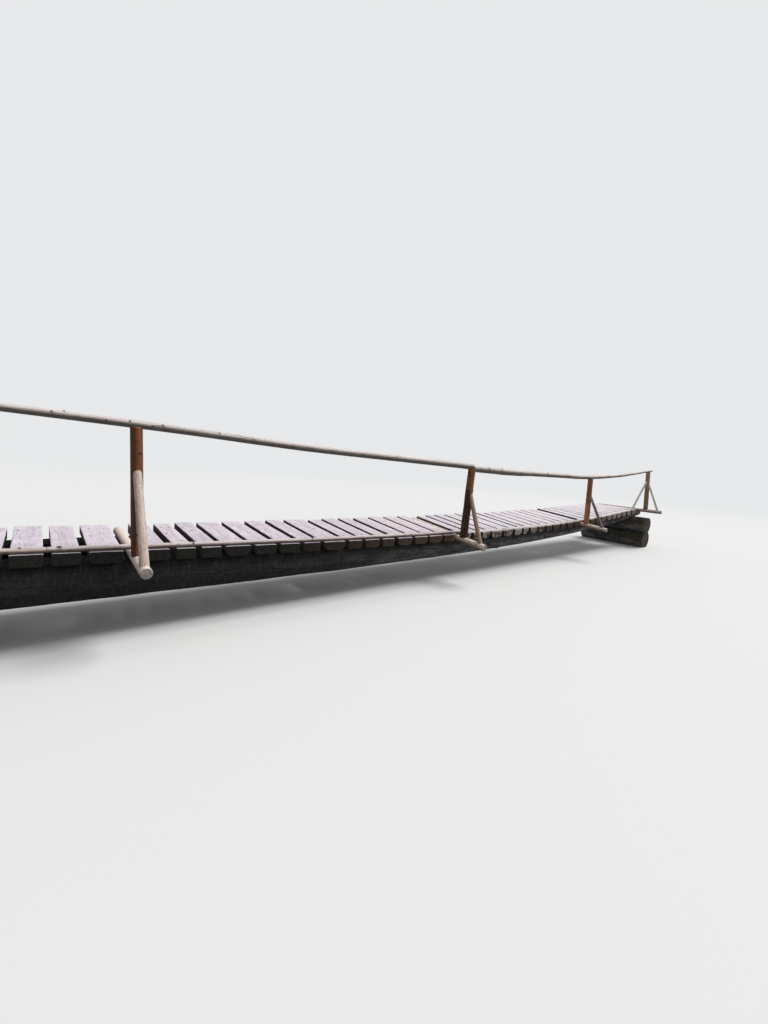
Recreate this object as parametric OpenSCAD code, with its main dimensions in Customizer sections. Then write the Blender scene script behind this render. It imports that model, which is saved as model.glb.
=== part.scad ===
// Wooden footbridge: two sagging log stringers on stacked sleepers, a deck of
// half-round planks, a kerb pole and a single round-pole handrail.
// X runs along the bridge, the handrail is on the -Y side, Z is up.
// The origin is the middle of the underside of the near lower sleeper. Millimetres.

/* [Deck] */
// Pitch of the planks in the first bay, plank and gap together
bay_1_pitch = 258; // [250:1:270]
// Number of planks in the first bay
bay_1_count = 13; // [12:1:14]
// Pitch of the planks in the second bay
bay_2_pitch = 274; // [262:1:285]
// Number of planks in the second bay
bay_2_count = 15; // [14:1:16]
// Pitch of the planks in the third bay
bay_3_pitch = 257; // [248:1:270]
// Number of planks in the third bay
bay_3_count = 14; // [13:1:15]
// Pitch of the planks in the fourth bay
bay_4_pitch = 254; // [245:1:265]
// Number of planks in the fourth bay
bay_4_count = 10; // [9:1:11]
// Room left between two bays for an outrigger, to the middle of the gaps
slot_w = 135; // [125:1:160]
// Length of a plank across the bridge
deck_w = 1100; // [1000:1:1200]
// Mean gap between two planks
plank_gap = 58; // [40:1:64]
// Thickness of a plank
plank_t = 105; // [90:1:112]
// Smallest radius of the logs that the planks were sawn from
slab_r = 118; // [115:1:130]
// The same for the thicker logs of the first two bays
thick_slab_r = 142; // [130:1:160]
// How unevenly the planks are spaced, from none to as built
unevenness = 1; // [0:0.1:1]
// How unevenly the plank ends line up on the open side
end_jitter = 32; // [0:1:60]

/* [Stringers] */
// Distance between the centre lines of the two logs
stringer_gauge = 700; // [620:1:760]
// Diameter of a log at its butt, on the near bank
butt_d = 480; // [440:1:500]
// Diameter of a log at its tip, on the far bank
tip_d = 165; // [160:1:220]
// Width of the hewn flat on top, as a share of the diameter
hewn_share = 0.55; // [0.48:0.01:0.62]
// Length of log past each end of the deck
log_overhang = 600; // [560:1:800]
// Sag of the deck's edge on the handrail side
rail_side_sag = 240; // [180:1:260]
// Shift of that sag towards the near bank
rail_side_skew = -0.56; // [-0.6:0.01:0.3]
// Sag of the deck's edge on the open side
open_side_sag = 127; // [80:1:220]
// Shift of that sag towards the near bank
open_side_skew = -0.34; // [-0.5:0.01:0.3]

/* [Sleepers] */
// Distance from a sleeper's centre line to the deck's end
sleeper_setback = 250; // [200:1:300]
// Length of a sleeper
sleeper_len = 1500; // [1300:1:1800]
// Diameter of the near lower sleeper
near_lower_d = 300; // [280:1:340]
// Height of the near lower sleeper between its hewn faces
near_lower_h = 204; // [180:1:230]
// Diameter of the near upper sleeper
near_upper_d = 280; // [260:1:320]
// Height of the near upper sleeper
near_upper_h = 178; // [160:1:210]
// Diameter of the far lower sleeper
far_lower_d = 430; // [400:1:460]
// Height of the far lower sleeper
far_lower_h = 365; // [340:1:375]
// Diameter of the far upper sleeper
far_upper_d = 400; // [370:1:430]
// Height of the far upper sleeper
far_upper_h = 350; // [320:1:355]
// Depth of the round seats that hold the logs
seat_depth = 30; // [20:1:40]

/* [Railing] */
// Distance from the plank ends to a post's centre line
post_offset = 80; // [75:1:120]
// Distance from the deck's end to an end post
end_post_gap = 330; // [300:1:420]
// Depth of the flat that a post stands on
post_flat = 16; // [8:1:20]
// Depth of the saddle that holds the rail
saddle_depth = 12; // [8:1:16]
// Height of the near rail's tip above the ground
rail_near_z = 2035; // [1960:1:2100]
// Height of the first rail over the middle post
rail_mid_z = 1690; // [1640:1:1770]
// Drop from the first rail to the second over the middle post
rail_step = 30; // [20:1:80]
// Height of the far rail's tip above the ground
rail_far_z = 1855; // [1790:1:1930]
// Distance by which the rail lies nearer to the deck than the posts' feet
rail_inset = 30; // [0:1:60]
// Length of rail past an end post
rail_end = 175; // [80:1:200]
// Diameter of the first rail at its tip
rail_1_tip_d = 48; // [44:1:70]
// Diameter of the first rail at its butt
rail_1_butt_d = 96; // [80:1:110]
// Diameter of the second rail at its butt
rail_2_butt_d = 114; // [90:1:118]
// Diameter of the second rail at its tip
rail_2_tip_d = 52; // [46:1:80]

/* [Outriggers and braces] */
// Distance from a post's centre line to the outrigger's end
outrigger_reach = 410; // [340:1:480]
// Distance from the bridge's centre line to the outrigger's hidden end
outrigger_tail = 520; // [490:1:550]
// Depth of the groove in a log that holds an outrigger
notch_depth = 6; // [4:1:16]
// Distance from the outrigger's end to the brace's foot
brace_inset = 75; // [60:1:100]
// Height of a brace's head above the post's foot
brace_rise = 680; // [560:1:760]
// Distance from the deck's end to the foot of a lengthwise brace
long_brace_foot = 90; // [80:1:160]
// Distance from the plank ends to the foot of a lengthwise brace
long_brace_inset = 70; // [50:1:110]
// Height of a lengthwise brace's head above the other brace's head
long_brace_step = 30; // [0:1:60]

/* [Kerb] */
// Diameter of the kerb poles
kerb_d = 48; // [45:1:65]
// Distance from the plank ends to a kerb pole's centre line
kerb_inset = 40; // [36:1:60]
// Width of the half-round kerb strips
strip_w = 62; // [50:1:70]
// Height of the kerb strips
strip_h = 26; // [20:1:35]

/* [Hidden] */
$fn = 48;
// Gap left between seated faces
seat_gap = 0.15;
// Gap around a log or pole in its round seat
round_gap = 0.3;
// Sides of a log, a rail and a kerb pole
log_sides = 14;
rail_sides = 16;
kerb_sides = 10;
// Nodes that share the planks
group_count = 13;

bay_pitch = [bay_1_pitch, bay_2_pitch, bay_3_pitch, bay_4_pitch];
bay_planks = [bay_1_count, bay_2_count, bay_3_count, bay_4_count];
bay_last = len(bay_pitch) - 1;
plank_count = bay_1_count + bay_2_count + bay_3_count + bay_4_count;
// Shifts of the gaps inside each bay, from the near end
gap_shift = [
    [-12, 8, -20, 14, 6, -16, 22, -8, 4, -24, -30, -38],
    [-40, -80, -120, -98, -92, -76, -90, -25, -39, -53, -67, -21, -16, 10],
    [-16, -53, -70, -7, 35, 38, 1, 4, 7, -10, 12, -14, 8],
    [-10, 14, -18, 6, 20, -12, 8, -6, 10],
];

// Number of planks before bay b, and place of its near end
function planks_before(b) = b == 0 ? 0 : planks_before(b - 1) + bay_planks[b - 1];
function bay_start(b) =
    b == 0 ? sleeper_setback : bay_start(b - 1) + bay_planks[b - 1] * bay_pitch[b - 1] + slot_w;

deck_start = sleeper_setback;
deck_end = bay_start(bay_last) + bay_planks[bay_last] * bay_pitch[bay_last];
near_sleeper_x = 0;
far_sleeper_x = deck_end + sleeper_setback;
log_start = deck_start - log_overhang;
log_end = deck_end + log_overhang;
near_sleeper_top = near_lower_h + near_upper_h;
far_sleeper_top = far_lower_h + far_upper_h;
post_y = -(deck_w / 2 + post_offset);
rail_y = post_y + rail_inset;

// The bridge is divided along X into straight segments: the near overhang, the
// planks of each bay with a slot between two bays, and the far overhang.
segment_last = plank_count + bay_last + 1;

// Posts from the near bank to the far bank: the segment that each outrigger
// lies in, its lean along the bridge, diameters at foot and head, diameters of
// its outrigger and brace, and what its outrigger and brace differ by.
post_segment = [
    0,
    planks_before(1) + 1,
    planks_before(2) + 2,
    planks_before(3) + 3,
    segment_last,
];
post_lean = [4, 0, 4.5, 0, -4];
post_foot_d = [104, 100, 118, 104, 100];
post_head_d = [96, 96, 110, 98, 92];
outrigger_d = [84, 96, 100, 84, 84];
brace_d = [50, 76, 66, 54, 48];
reach_shift = [-50, 0, 0, 10, -60];
rise_shift = [0, 90, 40, -50, 20];
post_last = len(post_segment) - 1;
rail_joint = 2;

// A repeatable number from -1 to 1 for piece i
function wobble(i, seed) = rands(-1, 1, 1, seed * 1000 + i)[0];

function lerp(a, b, u) = a + (b - a) * u;

// Edge i of bay b, counted from its near end
function bay_edge(b, i) =
    let (inner = i > 0 && i < bay_planks[b] && i <= len(gap_shift[b]))
    bay_start(b) + i * bay_pitch[b] + (inner ? unevenness * gap_shift[b][i - 1] : 0);

// Edges of all segments
edge_x = concat(
    [log_start],
    [for (b = [0:bay_last], i = [0:bay_planks[b]]) bay_edge(b, i)],
    [log_end]
);

// Segment of plank i, counted from 0
function plank_segment(i) =
    i + 1 + (i < planks_before(1) ? 0 : i < planks_before(2) ? 1 : i < planks_before(3) ? 2 : 3);

// Radius of a stringer, and the height from its underside to its hewn flat
function log_r(x) = lerp(butt_d, tip_d, (x - log_start) / (log_end - log_start)) / 2;
flat_angle = asin(hewn_share);
function log_h(x) = log_r(x) * (1 + cos(flat_angle));

// Heights of the hewn flats over the sleepers
near_seat_z = near_sleeper_top - seat_depth + log_h(near_sleeper_x);
far_seat_z = far_sleeper_top - seat_depth + log_h(far_sleeper_x);

// Height of the deck's underside along its two edges
function sagged(x, sag, skew) =
    let (u = (x - near_sleeper_x) / (far_sleeper_x - near_sleeper_x))
    lerp(near_seat_z, far_seat_z, u) - 4 * sag * u * (1 - u) * (1 + skew * (1 - 2 * u));
function rail_edge_z(x) = sagged(x, rail_side_sag, rail_side_skew);
function open_edge_z(x) = sagged(x, open_side_sag, open_side_skew);

// Seat plane of segment s: [middle x, height at y = 0, slope along X, slope along Y]
function seat(s) =
    let (
        x0 = edge_x[s],
        x1 = edge_x[s + 1],
        rail_mean = (rail_edge_z(x0) + rail_edge_z(x1)) / 2,
        open_mean = (open_edge_z(x0) + open_edge_z(x1)) / 2
    )
    [
        (x0 + x1) / 2,
        (rail_mean + open_mean) / 2,
        (rail_edge_z(x1) - rail_edge_z(x0)) / (x1 - x0),
        (open_mean - rail_mean) / deck_w,
    ];
seats = [for (s = [0:segment_last]) seat(s)];
function seat_z(s, x, y) = seats[s][1] + seats[s][2] * (x - seats[s][0]) + seats[s][3] * y;
function seat_pitch(s) = -atan(seats[s][2]);
function seat_roll(s) = atan(seats[s][3] * cos(seat_pitch(s)));

// Places its children on the seat plane of segment s
module on_seat(s) {
    translate([seats[s][0], 0, seats[s][1]])
        rotate([seat_roll(s), seat_pitch(s), 0])
            children();
}

// World place of a point given in the frame of segment s
function from_seat(s, p) =
    let (
        a = seat_roll(s),
        b = seat_pitch(s),
        rolled = [p[0], p[1] * cos(a) - p[2] * sin(a), p[1] * sin(a) + p[2] * cos(a)]
    )
    [
        seats[s][0] + rolled[0] * cos(b) + rolled[2] * sin(b),
        rolled[1],
        seats[s][1] - rolled[0] * sin(b) + rolled[2] * cos(b),
    ];

// A straight round pole from p to q
module pole(p, q, r1, r2) {
    d = q - p;
    translate(p)
        rotate([0, acos(d[2] / norm(d)), atan2(d[1], d[0])])
            cylinder(h = norm(d), r1 = r1, r2 = r2);
}

// A solid through rings of equal length, ordered along +X
module sweep(rings) {
    n = len(rings[0]);
    last = len(rings) - 1;
    points = [for (ring = rings) each ring];
    sides = [
        for (i = [0:last - 1], j = [0:n - 1])
            let (k = (j + 1) % n)
            each [
                [i * n + j, (i + 1) * n + j, (i + 1) * n + k],
                [i * n + j, (i + 1) * n + k, i * n + k],
            ],
    ];
    caps = [[for (j = [0:n - 1]) j], [for (j = [n - 1:-1:0]) last * n + j]];
    polyhedron(points = points, faces = concat(sides, caps), convexity = 6);
}

// Smooth curve through points p at parameter t, from 0 to len(p) - 1
function curve(p, t) =
    let (
        last = len(p) - 1,
        i = min(floor(t), last - 1),
        u = t - i,
        a = p[max(i - 1, 0)],
        b = p[i],
        c = p[i + 1],
        d = p[min(i + 2, last)]
    )
    b + u * (c - a) / 2 + u * u * (a - 2.5 * b + 2 * c - d / 2)
    + u * u * u * (1.5 * b - a / 2 - 1.5 * c + d / 2);

// Stringers

// Centre of a stringer's round at x, inside segment s
function log_centre(side, s, x) =
    let (
        y = side * stringer_gauge / 2,
        roll = atan(seats[s][3]),
        drop = log_r(x) * cos(flat_angle)
    )
    [x, y + drop * sin(roll), seat_z(s, x, y) - drop * cos(roll)];
function log_ring(side, s, x) =
    let (c = log_centre(side, s, x), roll = atan(seats[s][3]))
    [
        for (j = [0:log_sides - 1])
            let (a = 90 + flat_angle + roll + (360 - 2 * flat_angle) * j / (log_sides - 1))
            [x, c[1] + log_r(x) * cos(a), c[2] + log_r(x) * sin(a)],
    ];
// Part of the gap at segment edge e over which a log bends; its ends have none
function bend_part(e) = e == 0 || e == segment_last + 1 ? 0 : plank_gap / 4;

// Round seat of a stringer in the straight overhang segment s
module log_seat(side, s) {
    p = log_centre(side, s, edge_x[s]);
    q = log_centre(side, s, edge_x[s + 1]);
    pole(p, q, log_r(edge_x[s]) + round_gap, log_r(edge_x[s + 1]) + round_gap);
}

module stringer(side) {
    rings = [
        for (s = [0:segment_last])
            each [
                log_ring(side, s, edge_x[s] + bend_part(s)),
                log_ring(side, s, edge_x[s + 1] - bend_part(s + 1)),
            ],
    ];
    color([0.30, 0.28, 0.27])
        difference() {
            sweep(rings);
            for (k = [0:post_last]) outrigger_round(k, round_gap);
        }
}

// Sleepers

module sleeper(x, z, d, h) {
    color([0.34, 0.30, 0.26])
        intersection() {
            translate([x, 0, z + h / 2])
                rotate([90, 0, 0])
                    cylinder(h = sleeper_len, d = d, center = true);
            translate([x - d, -sleeper_len, z]) cube([2 * d, 2 * sleeper_len, h]);
        }
}

module upper_sleeper(x, z, d, h, s) {
    difference() {
        sleeper(x, z, d, h);
        for (side = [-1, 1]) log_seat(side, s);
    }
}

// Deck

// Half of a log of radius r or more, its round side down; a wide plank comes
// from a thicker log
module plank_profile(w, r) {
    intersection() {
        translate([-w / 2, 0]) square([w, plank_t]);
        translate([0, plank_t]) circle(r = max(r, w * 0.52), $fn = 96);
    }
}

// Plank i, counted from 0
module plank(i) {
    s = plank_segment(i);
    w = edge_x[s + 1] - edge_x[s] - plank_gap * (1 + 0.3 * wobble(i, 5));
    r = i < planks_before(2) ? thick_slab_r : slab_r;
    open_end = deck_w / 2 + end_jitter * wobble(i, 7);
    on_seat(s)
        translate([0, open_end, seat_gap])
            rotate([90, 0, 0])
                linear_extrude(height = open_end + deck_w / 2) plank_profile(w, r);
}

function group_start(g) = floor((g - 1) * plank_count / group_count);
module deck_planks(g) {
    color([0.62, 0.60, 0.60])
        for (i = [group_start(g):group_start(g + 1) - 1]) plank(i);
}

// Outriggers: round cross poles in shallow grooves in the logs, between two
// bays of planks or beyond the deck's ends

function outrigger_r(k) = outrigger_d[k] / 2;
// Place of outrigger k in the frame of its segment
function outrigger_x(k) =
    k == 0 ? log_overhang / 2 - end_post_gap
    : k == post_last ? end_post_gap - log_overhang / 2 : 0;
function outrigger_z(k) = outrigger_r(k) - notch_depth;
function outrigger_tip(k) = post_y - outrigger_reach - reach_shift[k];

module outrigger_round(k, clear) {
    on_seat(post_segment[k])
        translate([outrigger_x(k), outrigger_tail, outrigger_z(k)])
            rotate([90, 0, 0])
                cylinder(
                    h = outrigger_tail - outrigger_tip(k),
                    r = outrigger_r(k) + clear
                );
}

// The block above the flat that post k stands on
module above_flat(k) {
    block = 400;
    on_seat(post_segment[k])
        translate([
            outrigger_x(k) - block / 2,
            post_y - post_foot_d[k] / 2 - 4,
            outrigger_z(k) + outrigger_r(k) - post_flat
        ])
            cube([block, post_foot_d[k] + 8, block]);
}

module outrigger(k) {
    color([0.62, 0.50, 0.42])
        difference() {
            outrigger_round(k, 0);
            above_flat(k);
        }
}

// Posts

// Foot of post k: on its axis, at the flat
function post_foot(k) =
    from_seat(
        post_segment[k],
        [outrigger_x(k), post_y, outrigger_z(k) + outrigger_r(k) - post_flat + seat_gap]
    );
// Place of the rail over post k
function rail_x(k) = post_foot(k)[0] + (rail_mid_z - post_foot(k)[2]) * tan(post_lean[k]);
// Direction of post k, from its foot to the rail
function post_axis(k) =
    let (v = [tan(post_lean[k]), rail_inset / (rail_mid_z - post_foot(k)[2]), 1])
    v / norm(v);
// A point on the axis of post k, at a distance from its foot
function post_point(k, h) = post_foot(k) + h * post_axis(k);
// Height of post k under rail n
function post_seat_z(n, k) = rail_under_z(n, rail_x(k)) + saddle_depth;
function post_h(k) =
    let (high = max([for (n = rails_over(k)) post_seat_z(n, k)]))
    (high - post_foot(k)[2]) / post_axis(k)[2];

module post_round(k, clear) {
    foot = post_foot(k);
    reach = 60;
    slope = (post_head_d[k] - post_foot_d[k]) / 2 / post_h(k);
    pole(
        post_point(k, -reach), post_point(k, post_h(k)),
        post_foot_d[k] / 2 - slope * reach + clear, post_head_d[k] / 2 + clear
    );
}

module post(k) {
    block = 400;
    color([0.55, 0.36, 0.24])
        difference() {
            post_round(k, 0);
            on_seat(post_segment[k])
                translate([
                    outrigger_x(k) - block / 2,
                    post_y - block / 2,
                    outrigger_z(k) + outrigger_r(k) - post_flat + seat_gap - block
                ])
                    cube(block);
            for (n = rails_over(k)) rail_saddle(n, k);
            if (k == rail_joint)
                translate([rail_x(k) - step_gap, rail_y - block / 2, post_seat_z(1, k)])
                    cube(block);
        }
}

// Handrail: two natural poles that meet over the middle post

// Straight stretch of rail on each side of a post's centre
saddle_half = 100;
// Distance from the rails' joint to the step that the middle post has under it
step_gap = 3;
function rails_over(k) = k < rail_joint ? [0] : k > rail_joint ? [1] : [0, 1];
rail_first = [0, rail_joint];
rail_last = [rail_joint, post_last];
rail_start_x = [rail_x(0) - rail_end, rail_x(rail_joint) + seat_gap];
rail_stop_x = [rail_x(rail_joint) - seat_gap, rail_x(post_last) + rail_end];
rail_start_r = [rail_1_tip_d / 2, rail_2_butt_d / 2];
rail_stop_r = [rail_1_butt_d / 2, rail_2_tip_d / 2];
// Natural bends: height above the straight chord and sideways shift, as
// shares along each pole
rail_bends = [
    [[0, 0, 0], [0, 6, -2], [0, 0, -9], [0, -6, -11], [0, 0, -28], [0, 4, -16], [0, 0, 0]],
    [[0, 0, 0], [0, -6, -49], [0, 7, -75], [0, -8, -108], [0, 0, -139],
     [0, 6, -136], [0, -4, -107], [0, 5, -54], [0, 0, 0]],
];
rail_start_z = [rail_near_z, rail_mid_z - rail_step];
rail_stop_z = [rail_mid_z, rail_far_z];

function rail_u(n, x) = (x - rail_start_x[n]) / (rail_stop_x[n] - rail_start_x[n]);
function rail_r(n, x) = lerp(rail_start_r[n], rail_stop_r[n], rail_u(n, x));
function rail_centre(n, x) =
    let (u = rail_u(n, x), bends = rail_bends[n])
    [x, rail_y, lerp(rail_start_z[n], rail_stop_z[n], u)]
    + curve(bends, max(0, min(1, u)) * (len(bends) - 1));
function rail_under_z(n, x) = rail_centre(n, x)[2] - rail_r(n, x);

function rail_ring(n, x) =
    let (c = rail_centre(n, x), r = rail_r(n, x))
    [for (j = [0:rail_sides - 1]) let (a = 360 * j / rail_sides) c + r * [0, cos(a), sin(a)]];

// Rings from one post to the next, none inside the straight stretches
function bay_rings(n, k, count) =
    [
        for (i = [0:count])
            rail_ring(n, lerp(rail_x(k) + saddle_half, rail_x(k + 1) - saddle_half, i / count)),
    ];

module handrail(n) {
    first = rail_first[n];
    last = rail_last[n];
    inner = [for (k = [first:last - 1]) each bay_rings(n, k, 9)];
    color([0.74, 0.67, 0.60])
        sweep(concat([rail_ring(n, rail_start_x[n])], inner, [rail_ring(n, rail_stop_x[n])]));
}

// Saddle of rail n in the head of post k
module rail_saddle(n, k) {
    x0 = max(rail_start_x[n], rail_x(k) - saddle_half);
    x1 = min(rail_stop_x[n], rail_x(k) + saddle_half);
    pole(
        rail_centre(n, x0), rail_centre(n, x1),
        rail_r(n, x0) + round_gap, rail_r(n, x1) + round_gap
    );
}

// Braces

// Foot of brace k: on the outrigger's axis, near its end
function brace_foot(k) =
    from_seat(
        post_segment[k],
        [outrigger_x(k), outrigger_tip(k) + brace_inset, outrigger_z(k)]
    );
function brace_head(k) = post_point(k, brace_rise + rise_shift[k]);

module brace_round(k, clear) {
    r = brace_d[k] / 2;
    pole(brace_foot(k), brace_head(k), r + clear, r * 0.92 + clear);
}

module brace(k) {
    color([0.64, 0.54, 0.44])
        difference() {
            brace_round(k, 0);
            outrigger_round(k, round_gap);
            post_round(k, round_gap);
        }
}

// Lengthwise brace from end post k down to the plank in segment s
module end_brace(k, s, toward) {
    block = 600;
    sunk = 20;
    r = brace_d[k] / 2;
    edge = k == 0 ? deck_start : deck_end;
    foot_x = edge + toward * long_brace_foot;
    foot_y = -deck_w / 2 + long_brace_inset;
    foot = [foot_x, foot_y, seat_z(s, foot_x, foot_y) + plank_t - sunk];
    color([0.72, 0.64, 0.54])
        difference() {
            pole(foot, post_point(k, brace_rise + rise_shift[k] + long_brace_step), r, r * 0.9);
            on_seat(s)
                translate([-block / 2, -deck_w / 2, plank_t + 2 * seat_gap - block])
                    cube(block);
            post_round(k, round_gap);
            brace_round(k, round_gap);
        }
}

// Kerb: poles, then half-round strips, along the plank ends

function kerb_top(s, x, y) = seat_z(s, x, y) + (plank_t + 2 * seat_gap) * sqrt(
    1 + pow(seats[s][2], 2) + pow(seats[s][3], 2)
);
// Highest plank surface at segment edge e, where two segments meet
function kerb_base(e, x, y) = max(kerb_top(e - 1, x, y), kerb_top(e, x, y));

function kerb_pole_ring(e) =
    let (
        x = edge_x[e],
        y = -deck_w / 2 + kerb_inset,
        z = kerb_base(e, x, y) + kerb_d / 2 * 1.003
    )
    [
        for (j = [0:kerb_sides - 1])
            let (a = 360 * j / kerb_sides - 90)
            [x, y + kerb_d / 2 * cos(a), z + kerb_d / 2 * sin(a)],
    ];

function kerb_strip_ring(e) =
    let (
        x = edge_x[e],
        y = -deck_w / 2 + kerb_inset,
        lift = seats[e - 1][3] * strip_w / 2,
        z = kerb_base(e, x, y)
    )
    concat(
        [[x, y - strip_w / 2, z - lift], [x, y + strip_w / 2, z + lift]],
        [for (a = [22.5:22.5:157.5]) [x, y + strip_w / 2 * cos(a), z + strip_h * sin(a)]]
    );

// Pole over the segment edges e0 to e1
module kerb_pole(e0, e1) {
    color([0.72, 0.60, 0.52]) sweep([for (e = [e0:e1]) kerb_pole_ring(e)]);
}

module kerb_strip(e0, e1) {
    color([0.70, 0.68, 0.64]) sweep([for (e = [e0:e1]) kerb_strip_ring(e)]);
}

kerb_start = 2;
kerb_joint = bay_1_count - 1;
kerb_end = post_segment[rail_joint] + 1;
strip_joint = post_segment[rail_joint + 1] - 2;
strip_end = segment_last - 2;

sleeper(near_sleeper_x, 0, near_lower_d, near_lower_h);  // near_sleeper_lower
upper_sleeper(near_sleeper_x, near_lower_h, near_upper_d, near_upper_h, 0);  // near_sleeper_upper
sleeper(far_sleeper_x, 0, far_lower_d, far_lower_h);  // far_sleeper_lower
upper_sleeper(far_sleeper_x, far_lower_h, far_upper_d, far_upper_h, segment_last);  // far_sleeper_upper
stringer(-1);  // stringer_rail_side
stringer(1);  // stringer_open_side
deck_planks(1);  // deck_planks_01
deck_planks(2);  // deck_planks_02
deck_planks(3);  // deck_planks_03
deck_planks(4);  // deck_planks_04
deck_planks(5);  // deck_planks_05
deck_planks(6);  // deck_planks_06
deck_planks(7);  // deck_planks_07
deck_planks(8);  // deck_planks_08
deck_planks(9);  // deck_planks_09
deck_planks(10);  // deck_planks_10
deck_planks(11);  // deck_planks_11
deck_planks(12);  // deck_planks_12
deck_planks(group_count);  // deck_planks_13
outrigger(0);  // outrigger_1
outrigger(1);  // outrigger_2
outrigger(2);  // outrigger_3
outrigger(3);  // outrigger_4
outrigger(4);  // outrigger_5
post(0);  // post_1
post(1);  // post_2
post(2);  // post_3
post(3);  // post_4
post(4);  // post_5
brace(0);  // brace_1
brace(1);  // brace_2
brace(2);  // brace_3
brace(3);  // brace_4
brace(4);  // brace_5
end_brace(0, 1, 1);  // end_brace_near
end_brace(post_last, segment_last - 1, -1);  // end_brace_far
handrail(0);  // handrail_near
handrail(1);  // handrail_far
kerb_pole(kerb_start, kerb_joint);  // kerb_pole_1
kerb_pole(kerb_joint, kerb_end);  // kerb_pole_2
kerb_strip(kerb_end, strip_joint);  // kerb_strip_1
kerb_strip(strip_joint, strip_end);  // kerb_strip_2
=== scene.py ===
"""Wooden footbridge: the visual model, laid over the bridge's solids.

Lengths are in metres. X runs along the bridge to the far bank, Z is up and the
handrail stands on the -Y side. Every surface is worked out with numpy as a
stack of rings, and carries two attributes that its finish reads:

wood  the point in the timber itself: along the grain, then across it from the pith
look  four masks: tone of the piece, cut end, knot, and zone (each piece's second
      finish, such as the sawn face of a plank, the peeled part of a post, or the painted
      shade on the near-bank side of posts and of one brace)
"""

import bpy
import numpy as np
from mathutils import Matrix, Vector


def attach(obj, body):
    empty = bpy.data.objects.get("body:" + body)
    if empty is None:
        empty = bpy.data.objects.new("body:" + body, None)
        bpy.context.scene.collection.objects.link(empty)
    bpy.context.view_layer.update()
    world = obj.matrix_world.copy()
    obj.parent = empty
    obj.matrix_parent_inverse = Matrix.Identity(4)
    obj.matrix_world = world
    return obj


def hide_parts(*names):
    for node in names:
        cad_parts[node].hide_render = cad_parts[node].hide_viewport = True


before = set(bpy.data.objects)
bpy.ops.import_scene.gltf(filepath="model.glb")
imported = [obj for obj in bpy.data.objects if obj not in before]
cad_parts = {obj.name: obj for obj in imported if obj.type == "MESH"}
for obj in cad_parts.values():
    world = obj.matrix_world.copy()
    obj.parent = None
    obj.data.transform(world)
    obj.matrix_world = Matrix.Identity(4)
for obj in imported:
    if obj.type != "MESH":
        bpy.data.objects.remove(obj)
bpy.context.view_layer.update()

# ---------------------------------------------------------------- bridge lines

BAY_PITCH = [0.258, 0.274, 0.257, 0.254]
BAY_PLANKS = [13, 15, 14, 10]
SLOT_WIDTH = 0.135
GAP_SHIFT_MM = [
    [-12, 8, -20, 14, 6, -16, 22, -8, 4, -24, -30, -38],
    [-40, -80, -120, -98, -92, -76, -90, -25, -39, -53, -67, -21, -16, 10],
    [-16, -53, -70, -7, 35, 38, 1, 4, 7, -10, 12, -14, 8],
    [-10, 14, -18, 6, 20, -12, 8, -6, 10],
]
DECK_START = 0.25
DECK_WIDTH = 1.1
PLANK_THICK = 0.105
SLAB_RADIUS = [0.142, 0.142, 0.118, 0.118]
LOG_OVERHANG = 0.6
LOG_GAUGE = 0.7
LOG_BUTT = 0.48
LOG_TIP = 0.165
HEWN_SHARE = 0.55
RAIL_SIDE_SAG = (0.24, -0.56)
OPEN_SIDE_SAG = (0.127, -0.34)
SEAT_DEPTH = 0.03
SLEEPER_LENGTH = 1.5
# Diameter, height and height of the underside of each sleeper
NEAR_SLEEPERS = [(0.3, 0.204, 0.0), (0.28, 0.178, 0.204)]
FAR_SLEEPERS = [(0.43, 0.365, 0.0), (0.4, 0.35, 0.365)]

POST_GAP = 0.33
POST_OFFSET = 0.08
POST_FLAT = 0.016
RAIL_INSET = 0.03
RAIL_MID_HEIGHT = 1.69
POST_LEAN = [4, 0, 4.5, 0, -4]
POST_FOOT = [0.104, 0.1, 0.118, 0.104, 0.1]
POST_HEAD = [0.096, 0.096, 0.11, 0.098, 0.092]
OUTRIGGER_THICK = [0.084, 0.096, 0.1, 0.084, 0.084]
OUTRIGGER_REACH = [0.36, 0.41, 0.41, 0.42, 0.35]
OUTRIGGER_TAIL = 0.52
NOTCH_DEPTH = 0.006
BRACE_THICK = [0.05, 0.076, 0.066, 0.054, 0.048]
BRACE_RISE = [0.68, 0.77, 0.72, 0.63, 0.7]
BRACE_INSET = 0.075
KERB_THICK = 0.048
KERB_INSET = 0.04
STRIP_WIDTH = 0.062
STRIP_HEIGHT = 0.026


def segment_edges():
    """Places along X where the bridge's straight segments meet: the near overhang, each
    plank, each slot between two bays, and the far overhang."""
    edges = [DECK_START - LOG_OVERHANG]
    start = DECK_START
    for pitch, count, shift in zip(BAY_PITCH, BAY_PLANKS, GAP_SHIFT_MM):
        inner = np.concatenate([[0], shift, [0]]) / 1000
        edges.extend(start + np.arange(count + 1) * pitch + inner)
        start = edges[-1] + SLOT_WIDTH
    edges.append(edges[-1] + LOG_OVERHANG)
    return np.array(edges)


EDGES = segment_edges()
DECK_END = EDGES[-2]
LAST_SEGMENT = len(EDGES) - 2
FAR_SLEEPER_X = DECK_END + DECK_START
FLAT_ANGLE = np.arcsin(HEWN_SHARE)
POST_Y = -(DECK_WIDTH / 2 + POST_OFFSET)
RAIL_Y = POST_Y + RAIL_INSET
POST_SEGMENT = [
    0,
    BAY_PLANKS[0] + 1,
    sum(BAY_PLANKS[:2]) + 2,
    sum(BAY_PLANKS[:3]) + 3,
    LAST_SEGMENT,
]
POST_PLACE = [LOG_OVERHANG / 2 - POST_GAP, 0, 0, 0, POST_GAP - LOG_OVERHANG / 2]


def log_radius(x):
    """Radius of a stringer: straight taper from butt to tip."""
    share = (x - EDGES[0]) / (EDGES[-1] - EDGES[0])
    return (LOG_BUTT + (LOG_TIP - LOG_BUTT) * share) / 2


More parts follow.
